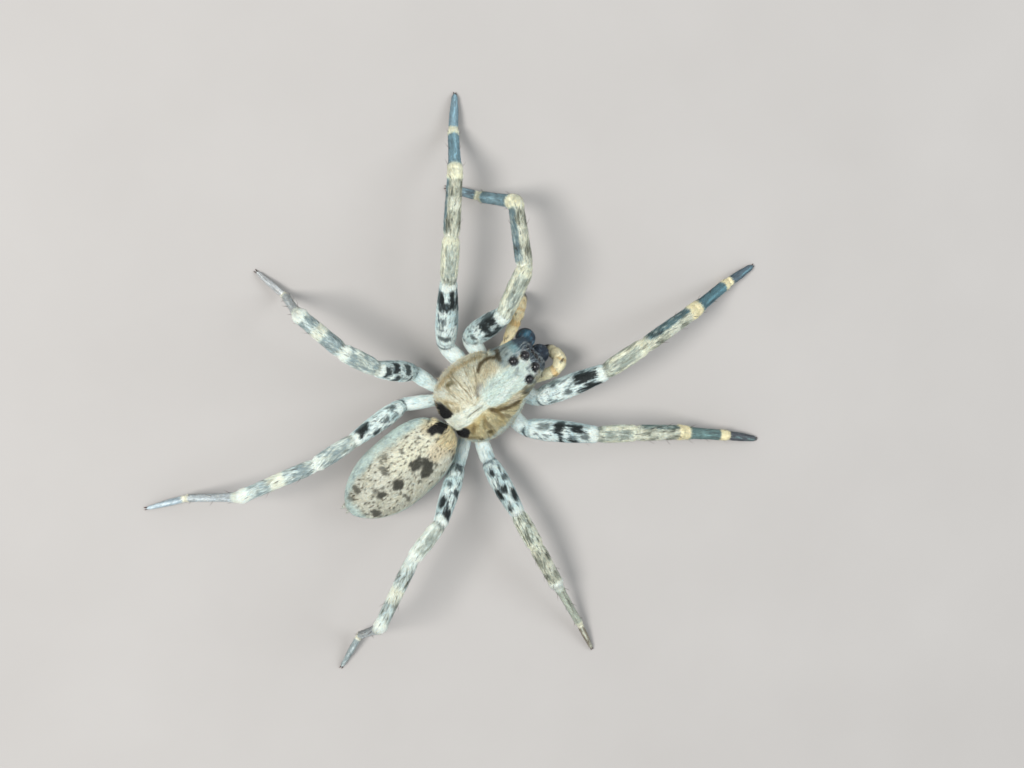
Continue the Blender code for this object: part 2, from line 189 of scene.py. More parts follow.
def solids_of(limb):
    return [f"{limb}_{solid}" for solid in LIMB_SOLIDS["leg" if limb in POSE else "palp"]]


def stoutness(limb, part):
    """How stout a limb's length is; the coxa and femur share one number."""
    return STOUT[int(limb[3])][max(part - 1, 0)] if limb in POSE else 1.0


def profile_of(limb, part):
    return (LEG_PROFILES if limb in POSE else PALP_PROFILES)[part]


# ---- camera, floor and light ------------------------------------------------

CAMERA_PLACE = (0.003656, 0.035132, 0.128570)
CAMERA_RIGHT = Vector((0.7431, -0.6463, 0.1732))
CAMERA_UP = Vector((0.6691, 0.7178, -0.1923))
LENS, SENSOR_WIDTH, CLIP_START, CLIP_END = 54.4, 36.0, 0.002, 5.0
# Lights: place, width of the disk, power, colour.
LIGHTS = {
    "key": ((-0.16, 0.18, 0.34), 0.16, 1.70, (1.0, 0.985, 0.96)),
    "fill": ((0.25, -0.10, 0.25), 0.22, 0.50, (0.92, 0.97, 1.0)),
}
LIGHT_AIM = Vector((0.0, 0.0, 0.003))
SKY_COLOUR, SKY_STRENGTH = (0.92, 0.97, 1.0, 1.0), 0.74
FLOOR_SIZE = 1.2


def set_camera():
    bpy.ops.object.camera_add(location=CAMERA_PLACE)
    camera = bpy.context.active_object
    camera.name = "camera"
    turn = Matrix((CAMERA_RIGHT, CAMERA_UP, CAMERA_RIGHT.cross(CAMERA_UP))).transposed()
    camera.rotation_mode = "QUATERNION"
    camera.rotation_quaternion = turn.to_quaternion()
    camera.data.lens = LENS
    camera.data.sensor_width = SENSOR_WIDTH
    camera.data.clip_start, camera.data.clip_end = CLIP_START, CLIP_END
    bpy.context.scene.camera = camera


def set_lights():
    for name, (place, size, power, colour) in LIGHTS.items():
        bpy.ops.object.light_add(type="AREA", location=place)
        light = bpy.context.active_object
        light.name = name
        light.data.shape = "DISK"
        light.data.size, light.data.energy, light.data.color = size, power, colour
        light.rotation_mode = "QUATERNION"
        light.rotation_quaternion = (LIGHT_AIM - Vector(place)).to_track_quat("-Z", "Y")
    world = bpy.data.worlds.new("studio")
    bpy.context.scene.world = world
    world.use_nodes = True
    background = world.node_tree.nodes["Background"]
    background.inputs["Color"].default_value = SKY_COLOUR
    background.inputs["Strength"].default_value = SKY_STRENGTH
    bpy.context.scene.view_settings.view_transform = "Standard"


def node(tree, kind, inputs=(), **settings):
    """A node with its settings; inputs are (socket, value or output) pairs."""
    made = tree.nodes.new(kind)
    for key, value in settings.items():
        setattr(made, key, value)
    for socket, value in inputs:
        if isinstance(value, bpy.types.NodeSocket):
            tree.links.new(value, made.inputs[socket])
        else:
            made.inputs[socket].default_value = value
    return made


def new_material(name, **sockets):
    """A material, its tree and its shader; sockets are the shader's constants, with _ for a blank."""
    material = bpy.data.materials.new(name)
    material.use_nodes = True
    tree = material.node_tree
    shader = tree.nodes["Principled BSDF"]
    for socket, value in sockets.items():
        shader.inputs[socket.replace("_", " ")].default_value = value
    return material, tree, shader


def noise(tree, scale, detail, roughness=0.5):
    """Noise on the object's own place, from 0 to 1."""
    place = node(tree, "ShaderNodeTexCoord")
    inputs = [("Scale", scale), ("Detail", detail), ("Roughness", roughness)]
    return node(tree, "ShaderNodeTexNoise", [("Vector", place.outputs["Object"]), *inputs]).outputs["Fac"]


def two_tones(tree, shader, fleck, low, high):
    """Runs the base colour from one tone to another with the noise."""
    inputs = [("Factor", fleck), (6, (*low, 1.0)), (7, (*high, 1.0))]
    tone = node(tree, "ShaderNodeMix", inputs, data_type="RGBA")
    tree.links.new(tone.outputs[2], shader.inputs["Base Color"])


def set_floor():
    bpy.ops.object.select_all(action="DESELECT")
    bpy.ops.mesh.primitive_plane_add(size=FLOOR_SIZE, location=(0.0, 0.0, 0.0))
    floor = bpy.context.active_object
    floor.name = "floor"
    material, tree, shader = new_material("pale floor", Roughness=0.9, Specular_IOR_Level=0.15)
    two_tones(tree, shader, noise(tree, 60.0, 4.0), (0.37, 0.35, 0.335), (0.42, 0.40, 0.385))
    floor.data.materials.append(material)


set_camera()
set_floor()
set_lights()

# ---- modelling helpers ------------------------------------------------------


def select_only(piece):
    bpy.ops.object.select_all(action="DESELECT")
    piece.select_set(True)
    bpy.context.view_layer.objects.active = piece


def select_corners(piece, chosen):
    """Selects the vertices that chosen picks, and leaves the piece open for editing."""
    bpy.ops.mesh.select_all(action="DESELECT")
    bpy.ops.mesh.select_mode(type="VERT")
    bpy.ops.object.mode_set(mode="OBJECT")
    bpy.context.view_layer.update()
    for vertex in piece.data.vertices:
        vertex.select = bool(chosen(vertex.co))
    bpy.ops.object.mode_set(mode="EDIT")


def start_ring(name, centre, along, radius, sides):
    """A filled circle facing along, open for editing and selected."""
    if bpy.context.mode != "OBJECT":
        bpy.ops.object.mode_set(mode="OBJECT")
    bpy.ops.object.select_all(action="DESELECT")
    turn = Vector((0.0, 0.0, 1.0)).rotation_difference(Vector(along)).to_euler()
    bpy.ops.mesh.primitive_circle_add(
        vertices=sides, radius=radius, fill_type="NGON", location=centre, rotation=turn
    )
    made = bpy.context.active_object
    made.name = name
    bpy.ops.object.mode_set(mode="EDIT")
    bpy.ops.mesh.select_all(action="SELECT")
    return made


def pull_ring(step, scale, centre):
    """Extrudes the selected end by step and resizes it about its new centre."""
    bpy.ops.mesh.extrude_region_move(TRANSFORM_OT_translate={"value": step})
    bpy.ops.transform.resize(value=scale, center_override=centre)


def end_model():
    bpy.ops.mesh.select_all(action="SELECT")
    bpy.ops.mesh.normals_make_consistent(inside=False)
    bpy.ops.object.mode_set(mode="OBJECT")


ROUND_END = ((0.62, 0.40), (0.38, 0.80))  # rings past an end: how far out and how wide, in end radii


def limb_length(name, start, end, profile, sides, stout=1.0, depth=COAT_DEPTH):
    """One length of a limb: a circle pulled from joint to joint, round at both ends."""
    start, end = Vector(start), Vector(end)
    along = (end - start).normalized()
    length = (end - start).length
    runs = [(share * length, radius * stout - depth) for share, radius in profile]
    near, far = runs[0][1], runs[-1][1]
    stations = [(-out * near, wide * near) for out, wide in ROUND_END]
    stations += runs
    stations += [(length + out * far, wide * far) for out, wide in reversed(ROUND_END)]
    place = start + along * stations[0][0]
    made = start_ring(name, place, along, stations[0][1], sides)
    for (before, small), (after, large) in zip(stations, stations[1:]):
        place = place + along * (after - before)
        grow = large / small
        pull_ring(along * (after - before), (grow, grow, grow), place)
    end_model()
    return made


def eased(table, steps):
    """The rows of a table with smooth in-between rows."""
    rows = np.array(table, float)
    padded = np.vstack([rows[0] * 2 - rows[1], rows, rows[-1] * 2 - rows[-2]])
    fine = []
    for i in range(1, len(padded) - 2):
        p0, p1, p2, p3 = padded[i - 1 : i + 3]
        for t in np.arange(steps) / steps:
            square = (2 * p0 - 5 * p1 + 4 * p2 - p3) * t * t
            fine.append(0.5 * (2 * p1 + (p2 - p0) * t + square + (3 * p1 - p0 - 3 * p2 + p3) * t ** 3))
    fine.append(rows[-1])
    return np.array(fine)


def body_length(name, sections, sides, flat_below=False):
    """A body form from rows of x, middle height, half width and half height.

    flat_below presses the lower half of the first circle nearly flat, so that
    every section pulled from it is a dome on a thin floor.
    """
    x, middle, half_width, half_height = sections[0]
    made = start_ring(name, (x, 0.0, middle), (1.0, 0.0, 0.0), 1.0, sides)
    if flat_below:
        select_corners(made, lambda corner: (made.matrix_world @ corner).z < middle - 1e-4)
        bpy.ops.transform.resize(value=(1.0, 1.0, 0.12), center_override=(x, 0.0, middle))
        bpy.ops.mesh.select_all(action="SELECT")
    bpy.ops.transform.resize(value=(1.0, half_width, half_height), center_override=(x, 0.0, middle))
    for (x0, m0, w0, h0), (x1, m1, w1, h1) in zip(sections, sections[1:]):
        pull_ring((x1 - x0, 0.0, m1 - m0), (1.0, w1 / w0, h1 / h0), (x1, 0.0, m1))
    end_model()
    made.location.y += SHIFT[1]
    return made


def upright_length(name, rows, sides, side):
    """A form of level rings stacked downwards: rows of x, y, z and radius on the left side."""
    rows = [(*on_frame(x, side * y, z), radius) for x, y, z, radius in rows]
    made = start_ring(name, rows[0][:3], (0.0, 0.0, -1.0), rows[0][3], sides)
    for (x0, y0, z0, r0), (x1, y1, z1, r1) in zip(rows, rows[1:]):
        grow = r1 / r0
        pull_ring((x1 - x0, y1 - y0, z1 - z0), (grow, grow, grow), (x1, y1, z1))
    end_model()
    return made


def apply_transforms(piece):
    select_only(piece)
    bpy.ops.object.transform_apply(location=True, rotation=True, scale=True)


def join_pieces(name, parts):
    select_only(parts[0])
    for part in parts:
        part.select_set(True)
    bpy.ops.object.join()
    made = bpy.context.active_object
    made.name = made.data.name = name
    apply_transforms(made)
    return made


def apply_modifier(piece, kind, **settings):
    bpy.context.view_layer.objects.active = piece
    made = piece.modifiers.new(kind.lower(), kind)
    for key, value in settings.items():
        setattr(made, key, value)
    bpy.ops.object.modifier_apply(modifier=made.name)


def read_vertices(piece, key):
    found = np.empty(len(piece.data.vertices) * 3, np.float32)
    piece.data.vertices.foreach_get(key, found)
    return found.reshape(-1, 3).astype(float)


def places(piece):
    return read_vertices(piece, "co")


def normals(piece):
    return read_vertices(piece, "normal")


def set_places(piece, found):
    piece.data.vertices.foreach_set("co", np.asarray(found, np.float32).ravel())
    piece.data.update()


def smooth(low, high, value):
    share = np.clip((value - low) / (high - low), 0.0, 1.0)
    return share * share * (3.0 - 2.0 * share)


def unit(vectors):
    return vectors / np.maximum(np.linalg.norm(vectors, axis=-1, keepdims=True), 1e-9)


def station(table, column, x):
    """A column of a table of stations, read at each x."""
    rows = np.array(sorted(table))
    return np.interp(x, rows[:, 0], rows[:, column])


def rim_at(x):
    return station(CARAPACE, 2, x)


# ---- skin -------------------------------------------------------------------

# The soft flank between the carapace's edge and the breastplate: height, half height, share of the width.
FLANK_MIDDLE, FLANK_RISE, FLANK_WIDTH = 3.0, 0.75, 0.62
# Where the left jaw and the face run into the head: x, y, z, radius.
JAW_ROOT = (
    (3.55, 0.62, 4.55, 0.60), (3.95, 0.72, 4.20, 0.66), (4.30, 0.80, 3.75, 0.66), (4.50, 0.84, 3.30, 0.58),
)
FACE_FOOT = (
    (3.70, 0.0, 4.60, 0.50), (3.95, 0.0, 4.20, 0.48), (4.15, 0.0, 3.80, 0.42), (4.25, 0.0, 3.40, 0.30),
)
# The spinnerets' root: x and z of both ends, then the radii there.
SPINNERET_ROOT, SPINNERET_ROOT_RADII = ((-15.20, 2.42), (-15.56, 1.50)), (0.40, 0.35)


def model_trunk():
    """Carapace, abdomen, breastplate, flank, waist and lip."""
    deep, sx = COAT_DEPTH, SHIFT[0]
    shell = [(x + sx, rim, half - deep, top - rim - deep) for x, half, rim, top in eased(CARAPACE, 3)]
    sack = [
        (x + sx, (top + low) / 2, half - deep, (top - low) / 2 - deep)
        for x, half, top, low in eased(ABDOMEN, 3)
    ]
    middle, rise = (STERNUM_TOP + STERNUM_BOTTOM) / 2 + 0.1, (STERNUM_TOP - STERNUM_BOTTOM) / 2 + 0.1 - deep
    plate = [(x + sx, middle, half - deep, rise) for x, half in eased(STERNUM, 2)]
    flank = [
        (x + sx, FLANK_MIDDLE, half * FLANK_WIDTH, FLANK_RISE) for x, half, _, _ in eased(CARAPACE[1:9], 2)
    ]
    parts = [
        body_length("carapace_form", shell, 56, flat_below=True), body_length("abdomen_form", sack, 48),
        body_length("breastplate_form", plate, 28), body_length("flank_form", flank, 28),
    ]
    for name, ((x0, z0), (x1, z1)), (r0, r1) in (
        ("waist_form", PEDICEL, PEDICEL_RADII), ("lip_form", LABIUM, LABIUM_RADII),
    ):
        parts.append(limb_length(name, on_frame(x0, 0, z0), on_frame(x1, 0, z1), ((0, r0), (1, r1)), 16))
    return parts


def model_face():
    """The two jaws, their roots in the head and the foot of the face."""
    parts = []
    for side in (1, -1):
        jaw = [(x, y, z, radius - JAW_DEPTH) for x, y, z, radius in eased(CHELICERA, 2)]
        parts.append(upright_length("jaw_form", jaw, 24, side))
        parts.append(upright_length("jaw_root_form", JAW_ROOT, 20, side))
    parts.append(upright_length("face_foot_form", FACE_FOOT, 16, 1))
    return parts


def model_spinnerets():
    """Four spinnerets on a short root in the abdomen."""
    start, end = (on_frame(x, 0, z) for x, z in SPINNERET_ROOT)
    profile = [*enumerate(SPINNERET_ROOT_RADII)]
    parts = [limb_length("spinneret_root_form", start, end, profile, 16, depth=0.0)]
    for side, height, length, radius in SPINNERETS:
        start = Vector(on_frame(SPINNERET_START, side * 0.9, height))
        end = start + Vector((-length, side * SPINNERET_SPREAD, -SPINNERET_FALL))
        profile = ((0, radius), (0.7, radius * 0.9), (1, radius * 0.5))
        parts.append(limb_length("spinneret_form", start, end, profile, 14, depth=SPINNERET_DEPTH))
    return parts


def model_limb(name, joints):
    parts = []
    for part, (start, end) in enumerate(zip(joints, joints[1:])):
        depth = COAT_DEPTH if part < 4 else FOOT_DEPTH
        profile, stout = profile_of(name, part), stoutness(name, part)
        parts.append(limb_length(f"{name}_form", start, end, profile, 22, stout, depth))
    return parts


def square_up_head(found):
    """Pushes the head's upper corners out from a plain arch to its steep sides."""
    body = found - SHIFT
    x, y, z = body.T
    half, rim = station(CARAPACE, 1, x), rim_at(x)
    rise = station(CARAPACE, 3, x) - rim
    boxy = smooth(HEAD_START, HEAD_FULL, x)
    here = (boxy > 0) & (z > rim) & (np.abs(y) < half * 1.02) & (z < rim + rise * 1.02)
    across, up = np.abs(y) / half, (z - rim) / rise
    far = np.hypot(across, up)
    bearing_across, bearing_up = np.abs(across) / np.maximum(far, 1e-6), np.abs(up) / np.maximum(far, 1e-6)
    power_across, power_up = (2.0 / (1.0 - square * boxy) for square in (HEAD_SQUARE_ACROSS, HEAD_SQUARE_UP))
    # Halving finds how far out the squarer arch lies on each bearing.
    low, high = np.full(len(x), 0.9), np.full(len(x), 1.5)
    for _ in range(22):
        middle = (low + high) / 2
        inside = (middle * bearing_across) ** power_across + (middle * bearing_up) ** power_up < 1.0
        low, high = np.where(inside, middle, low), np.where(inside, high, middle)
    grow = 1.0 + (low - 1.0) * smooth(0.55, 0.9, far)
    body[:, 1] = np.where(here, y * grow, y)
    body[:, 2] = np.where(here, rim + (z - rim) * grow, z)
    return body + SHIFT


def build_skin():
    """Every length of flesh as its own closed form, overlapping at the joints, run into one skin."""
    parts = model_trunk() + model_face() + model_spinnerets()
    for name, joints in LIMBS.items():
        parts += model_limb(name, joints)
    flesh = join_pieces("skin", parts)
    apply_modifier(flesh, "REMESH", mode="VOXEL", voxel_size=SKIN_VOXEL, adaptivity=0.0)
    apply_modifier(flesh, "SMOOTH", factor=0.5, iterations=2)
    set_places(flesh, square_up_head(places(flesh)))
    return flesh


skin = build_skin()

# ---- where each point lies: nearest length, share along it, turn round it ---

SOLID_NAMES = [n for n in sorted(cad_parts) if not n.startswith(("eye_", "fang_"))]
# The body's own axis, which turn goes round: its height behind the waist, in the thorax and in the face.
WAIST_X, FACE_X = -4.9, 3.9
ABDOMEN_AXIS, THORAX_AXIS, FACE_AXIS = 3.9, 3.6, 3.2
BODY_START, BODY_LENGTH = -16.5, 22.5


def owners_of(points):
    """The number of the solid nearest each point."""
    corners, faces, owner = [], [], []
    for number, name in enumerate(SOLID_NAMES):
        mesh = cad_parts[name].data
        base = len(corners)
        corners += [tuple(v.co / MM) for v in mesh.vertices]
        faces += [[base + v for v in polygon.vertices] for polygon in mesh.polygons]
        owner += [number] * len(mesh.polygons)
    tree = BVHTree.FromPolygons(corners, faces)
    return np.array(owner)[[tree.find_nearest(Vector(p))[2] for p in points]]


def measure(limb, part, points):
    """Gap to one length of a limb, the length's number, share, turn, radius, reach and direction."""
    start, end = LIMBS[limb][part : part + 2]
    length = np.linalg.norm(end - start)
    along = (end - start) / length
    share = (points - start) @ along / length
    off = points - (start + np.clip(share, 0, 1)[:, None] * (end - start))
    profile = np.array(profile_of(limb, part))
    radius = np.interp(share, profile[:, 0], profile[:, 1]) * stoutness(limb, part)
    gap = np.linalg.norm(off, axis=1) - radius
    back = np.array([0.0, 0.0, 1.0]) - along * along[2]
    back /= np.linalg.norm(back)
    front = np.cross(along, back) * side_of(limb)
    turn = np.arctan2(off @ front, off @ back)
    columns = gap, np.full(len(points), part), share, turn, radius, share * length
    return np.column_stack([*columns, np.tile(along, (len(points), 1))])


class Chart:
    """Where points lie on the animal. part is the limb's length, share runs along
    it, turn goes round it from the back (0) towards the animal's front (+)."""

    def __init__(self, points, owner):
        count = len(points)
        self.points, self.owner = points, owner
        self.body = points - SHIFT
        self.limb, self.part = np.full(count, -1), np.full(count, -1)
        self.share, self.turn = np.zeros(count), np.zeros(count)
        self.reach = np.zeros(count)  # distance along the length, mm
        self.radius = np.ones(count)
        self.along = np.tile([1.0, 0.0, 0.0], (count, 1))
        for name, limb, here in self.solids():
            if limb in LIMBS:
                parts = LIMB_SOLIDS["leg" if limb in POSE else "palp"][name.rsplit("_", 1)[1]]
                self.place_on_limb(limb, parts, here)
        self.place_on_body()

    def solids(self):
        """Each solid that has points: its name, its limb's name and which points are its own."""
        for number, name in enumerate(SOLID_NAMES):
            here = self.owner == number
            if here.any():
                yield name, name.rsplit("_", 1)[0], here

    def names(self):
        return np.array(SOLID_NAMES)[self.owner]

    def place_on_limb(self, limb, parts, here):
        """Places points on whichever of the solid's lengths is nearest."""
        points = self.points[here]
        rows = np.stack([measure(limb, part, points) for part in parts])
        nearest = rows[np.argmin(rows[:, :, 0], axis=0), np.arange(len(points))]
        self.limb[here] = LIMB_NAMES.index(limb)
        self.part[here], self.share[here], self.turn[here] = nearest[:, 1:4].T
        self.radius[here], self.reach[here] = nearest[:, 4:6].T
        self.along[here] = nearest[:, 6:]

    def place_on_body(self):
        here = self.limb < 0
        x, y, z = self.body[here].T
        level = np.where(x < WAIST_X, ABDOMEN_AXIS, np.where(x > FACE_X, FACE_AXIS, THORAX_AXIS))
        self.turn[here] = np.arctan2(y, z - level)
        self.share[here] = (x - BODY_START) / BODY_LENGTH


# ---- noise ------------------------------------------------------------------


def lattice(cells, seed):
    """A fixed random number from 0 to 1 for each whole-number cell."""
    x, y, z = (cells[..., i].astype(np.int64).astype(np.uint64) for i in range(3))
    mix = x * np.uint64(73856093) ^ y * np.uint64(19349663) ^ z * np.uint64(83492791)
    mix = mix ^ np.uint64(seed * 7919 + 17)
    for shift, factor in ((15, 2246822519), (13, 3266489917)):
        mix = (mix ^ (mix >> np.uint64(shift))) * np.uint64(factor) & np.uint64(0xFFFFFFFF)
    return (mix ^ (mix >> np.uint64(16))).astype(float) / 4294967295.0


def grain(points, size, seed):
    """Smooth noise from 0 to 1 with features about size across."""
    scaled = points / size
    cell = np.floor(scaled)
    t = scaled - cell
    t = t * t * (3 - 2 * t)
    total = np.zeros(len(points))
    for corner in np.ndindex(2, 2, 2):
        a, b, c = (t[:, axis] if far else 1 - t[:, axis] for axis, far in enumerate(corner))
        total += a * b * c * lattice(cell + corner, seed)
    return total


def cloud(points, size, seed):
    """Grain with a finer grain over it."""
    return (grain(points, size, seed) + 0.5 * grain(points, size / 2.1, seed + 1)) / 1.5


def strokes(along, across, third, seed, size=1.0):
    """Noise drawn out into strokes: one column of places for each direction."""
    return grain(np.stack(np.broadcast_arrays(along, across, third), axis=1), size, seed)


def bump(value, centre, half_width, soft):
    """1 within half_width of the centre, falling to 0 over soft."""
    return 1.0 - smooth(half_width, half_width + soft, np.abs(value - centre))


def bell(value, centre, width):
    """1 at the centre, falling away like a bell."""
    return np.exp(-((value - centre) / width) ** 2)


def turn_off(turn, bearing):
    """How far a turn is from a bearing, the shorter way round, in radians."""
    return np.abs((turn - bearing + math.pi) % (2 * math.pi) - math.pi)


def spot(x, y, cx, cy, rx, ry, soft=0.35):
    """1 inside an oval seen from above, falling to 0 over its edge."""
    far = np.hypot((x - cx) / rx, (y - cy) / ry)
    return 1.0 - smooth(1.0 - soft, 1.0 + soft, far)


def streak(x, y, route, half, soft):
    """1 along a line of places on the body, seen from above, falling to 0 beside it."""
    near = np.full(len(x), 1e3)
    for (ax, ay), (bx, by) in zip(route, route[1:]):
        run, rise = bx - ax, by - ay
        share = np.clip(((x - ax) * run + (y - ay) * rise) / (run * run + rise * rise), 0, 1)
        near = np.minimum(near, np.hypot(x - ax - run * share, y - ay - rise * share))
    return 1.0 - smooth(half, half + soft, near)


def specks(x, y, pitch, radius, seed, dense):
    """Small separate spots, one to a cell at most, more of them where dense is near 1."""
    amount = np.zeros(len(x))
    column, row = np.floor(x / pitch), np.floor(y / pitch)
    for i in (-1, 0, 1):
        for j in (-1, 0, 1):
            cell = np.stack([column + i, row + j, np.zeros(len(x))], axis=1)
            cx = (column + i + 0.15 + 0.7 * lattice(cell, seed)) * pitch
            cy = (row + j + 0.15 + 0.7 * lattice(cell, seed + 1)) * pitch
            size = radius * (0.6 + 0.8 * lattice(cell, seed + 2))
            far = np.hypot((x - cx) / 1.35, y - cy) / size
            kept = lattice(cell, seed + 3) < dense
            amount = np.maximum(amount, (1 - smooth(0.7, 1.2, far)) * kept)
    return amount


def eye_distances(body):
    """For each eye: its row, its radius, and each point's distance in eye radii."""
    x, y, z = body.T
    for row, (ex, ey, ez, radius) in EYES.items():
        for side in (1, -1):
            yield row, radius, np.sqrt((x - ex) ** 2 + (y - side * ey) ** 2 + (z - ez) ** 2) / radius

# ---- markings: tones from 0 to 255 as a screen shows them --------------------


class Paint:
    """The colour of each point of one solid, laid on in coats, and where those points are."""

    def __init__(self, chart, here, ground):
        self.points = chart.points[here]
        self.x, self.y, self.z = chart.body[here].T
        self.part, self.share, self.turn = chart.part[here], chart.share[here], chart.turn[here]
        self.reach, self.radius = chart.reach[here], chart.radius[here]
        self.colour = np.tile(np.array(ground, float), (len(self.points), 1))

    def lay(self, tone, amount):
        """Lays a tone over what is there; amount is how fully at each point, from 0 to 1."""
        amount = np.clip(amount, 0.0, 1.0)[:, None]
        self.colour = self.colour * (1.0 - amount) + np.asarray(tone, float) * amount

    def finished(self, fine, depth):
        """The colour, a little paler or darker with the fine grain."""
        return self.colour * (1.0 - depth / 2 + depth * fine)[:, None]


# The last of these tones is black hair, also laid as painted shadow in the gap between carapace and abdomen.
WHITE_HAIR, BLACK_HAIR, VELVET_AND_GAP_SHADOW = (228, 240, 235), (24, 31, 31), (16, 16, 17)
# Black marks on the femora: share along, half length, turn and half turn in degrees, depth.
FEMUR_MARKS = {
    "leg1_l": (
        (0.76, 0.16, -56, 42, 1.0), (0.66, 0.05, -18, 26, 0.9), (0.64, 0.20, 40, 22, 0.9),
        (0.80, 0.12, 100, 40, 0.9), (0.30, 0.05, -20, 14, 0.4),
    ),
    "leg1_r": (
        (0.77, 0.13, -58, 42, 1.0), (0.76, 0.13, 44, 34, 1.0), (0.46, 0.05, -8, 16, 0.55),
        (0.30, 0.05, 60, 20, 0.6), (0.22, 0.04, -40, 14, 0.4),
    ),
    "leg2_l": (
        (0.70, 0.06, -34, 26, 0.9), (0.80, 0.09, -72, 34, 1.0), (0.80, 0.12, 20, 16, 0.95),
        (0.74, 0.16, 84, 30, 0.9), (0.47, 0.04, -30, 12, 0.4), (0.19, 0.03, -10, 36, 0.6),
    ),
    "leg2_r": (
        (0.53, 0.03, -50, 36, 0.95), (0.70, 0.05, -52, 38, 1.0), (0.50, 0.05, 40, 28, 1.0),
        (0.74, 0.07, 46, 30, 1.0), (0.88, 0.05, -10, 18, 0.5), (0.30, 0.06, 30, 16, 0.45),
    ),
    "leg3_l": (
        (0.86, 0.06, -10, 40, 0.8), (0.66, 0.06, 34, 30, 0.9), (0.54, 0.07, -46, 26, 0.8),
        (0.36, 0.06, 24, 24, 0.7), (0.20, 0.05, -34, 22, 0.6),
    ),
    "leg3_r": (
        (0.20, 0.07, -22, 16, 0.9), (0.52, 0.07, -6, 22, 0.9), (0.62, 0.09, -62, 30, 1.0),
        (0.70, 0.09, 46, 24, 0.95), (0.86, 0.06, -34, 20, 0.8), (0.34, 0.05, 40, 20, 0.6),
    ),
    "leg4_l": (
        (0.84, 0.11, 54, 38, 1.0), (0.66, 0.06, -40, 22, 0.7), (0.44, 0.05, 4, 14, 0.5),
        (0.24, 0.06, 46, 20, 0.5),
    ),
    "leg4_r": (
        (0.72, 0.08, -52, 30, 0.95), (0.87, 0.08, 10, 30, 0.95), (0.07, 0.06, -6, 26, 0.7),
        (0.50, 0.05, 38, 20, 0.7), (0.40, 0.05, -40, 18, 0.5),
    ),
}
# Front legs: where the ring over the heel starts on the metatarsus and ends on the tarsus,
# then the turn and half width, in radians, of the slate strip down the tibia.
RINGS = {"leg1_l": (0.89, 0.16), "leg1_r": (0.86, 0.15), "leg2_l": (0.85, 0.08), "leg2_r": (0.80, 0.03)}
STRIPS = {"leg1_l": (-1.20, 0.80), "leg1_r": (1.2, 0.80), "leg2_l": (-1.75, 0.75), "leg2_r": (1.45, 0.75)}
RING_TONES = {1: (255, 253, 220), -1: (255, 240, 196)}  # on the left and on the right
# Feet: the tone of the metatarsus and of the tarsus.
FEET = {
    "leg1_l": ((112, 138, 146), (104, 122, 130)), "leg1_r": ((80, 112, 120), (84, 100, 110)),
    "leg2_l": ((116, 146, 156), (116, 140, 150)), "leg2_r": ((96, 120, 118), (74, 78, 84)),
    "leg3_l": ((168, 174, 174), (170, 172, 172)), "leg3_r": ((166, 172, 158), (126, 118, 104)),
    "leg4_l": ((170, 178, 180), (160, 176, 184)), "leg4_r": ((160, 166, 166), (140, 152, 152)),
}
# The middle of the legs is warmer in front, and on the third right leg, than behind.
WARM = {
    "patella": (200, 206, 188), "frame": (240, 240, 214), "tibia": (220, 220, 198),
    "mottle": (140, 144, 128), "mottling": 0.85, "streak": (246, 246, 228), "streaking": 0.45,
}
COOL = {
    "patella": (206, 214, 204), "frame": (232, 240, 230), "tibia": (214, 224, 216),
    "mottle": (156, 170, 170), "mottling": 0.70, "streak": (232, 242, 238), "streaking": 0.28,
}


class LegPaint(Paint):
    """The paint of one leg, with the noises that its markings share."""

    def __init__(self, chart, here, name):
        super().__init__(chart, here, WHITE_HAIR)
        self.name, self.front = name, name in RINGS
        self.tones = WARM if self.front or name == "leg3_r" else COOL
        seed = 40 + list(POSE).index(name) * 10
        round_it = self.turn * self.radius
        brush = self.reach + self.part * 31.0, round_it / 0.17, seed * 3.7
        self.fleck = 0.6 * strokes(*brush, seed) + 0.4 * strokes(*brush, seed + 1, 0.5)
        self.patch = cloud(self.points, 0.75, seed + 2)
        self.fine = grain(self.points, 0.16, seed + 4)
        self.crumb = grain(self.points, 0.26, seed + 5)
        self.thread = strokes(self.reach / 0.42, round_it / 0.085, seed * 1.3, seed + 6)
        self.wander = (self.patch - 0.5) * 0.22 + (self.fleck - 0.5) * 0.14
        self.is_part = [self.part == number for number in range(6)]


def paint_femur(leg):
    """Coxa and femur: bluish white, flecked, with broken black marks before a white tip."""
    share, turn, fleck, patch, thread, lay = leg.share, leg.turn, leg.fleck, leg.patch, leg.thread, leg.lay
    coxa, femur = leg.is_part[:2]
    lay((184, 206, 206), (coxa | femur) * smooth(0.48, 0.72, patch) * 0.65)
    lay((74, 88, 88), femur * smooth(0.66, 0.78, fleck) * smooth(0.05, 0.2, share) * (share < 0.93) * 0.6)
    lay((60, 72, 74), femur * smooth(0.78, 0.85, leg.crumb) * 0.6)
    lay((84, 98, 100), coxa * smooth(0.72, 0.82, fleck) * 0.4)
    lay((70, 82, 84), femur * smooth(0.74, 0.82, thread) * smooth(0.06, 0.15, share) * (share < 0.9) * 0.75)
    ragged = (patch - 0.5) * 1.3 + (fleck - 0.5) * 1.6 + (thread - 0.5) * 0.9
    for along, half, bearing, spread, depth in FEMUR_MARKS[leg.name]:
        round_off = turn_off(turn, math.radians(bearing)) / math.radians(spread)
        far = (round_off ** 3 + (np.abs(share - along) / half) ** 3) ** (1 / 3) * 0.90 + ragged * 0.85
        lay((118, 134, 136), femur * (1 - smooth(1.05, 1.45, far)) * depth * 0.6)
        lay(BLACK_HAIR, femur * (1 - smooth(0.90, 1.08, far)) * depth)
    lay((232, 240, 232), femur * smooth(0.90, 0.95, share + leg.wander * 0.3) * 0.85)
    # Painted shade: grey-blue round the sides of the femur, where the round leg turns from the light.
    lay((168, 190, 192), femur * smooth(0.85, 1.35, np.abs(turn)) * 0.45)
    lay((60, 74, 78), femur * bump(share, 0.015, 0.012, 0.018) * (np.cos(turn) > -0.2) * 0.85)
    lay((110, 126, 130), femur * bump(share, 0.085, 0.006, 0.015) * 0.5)


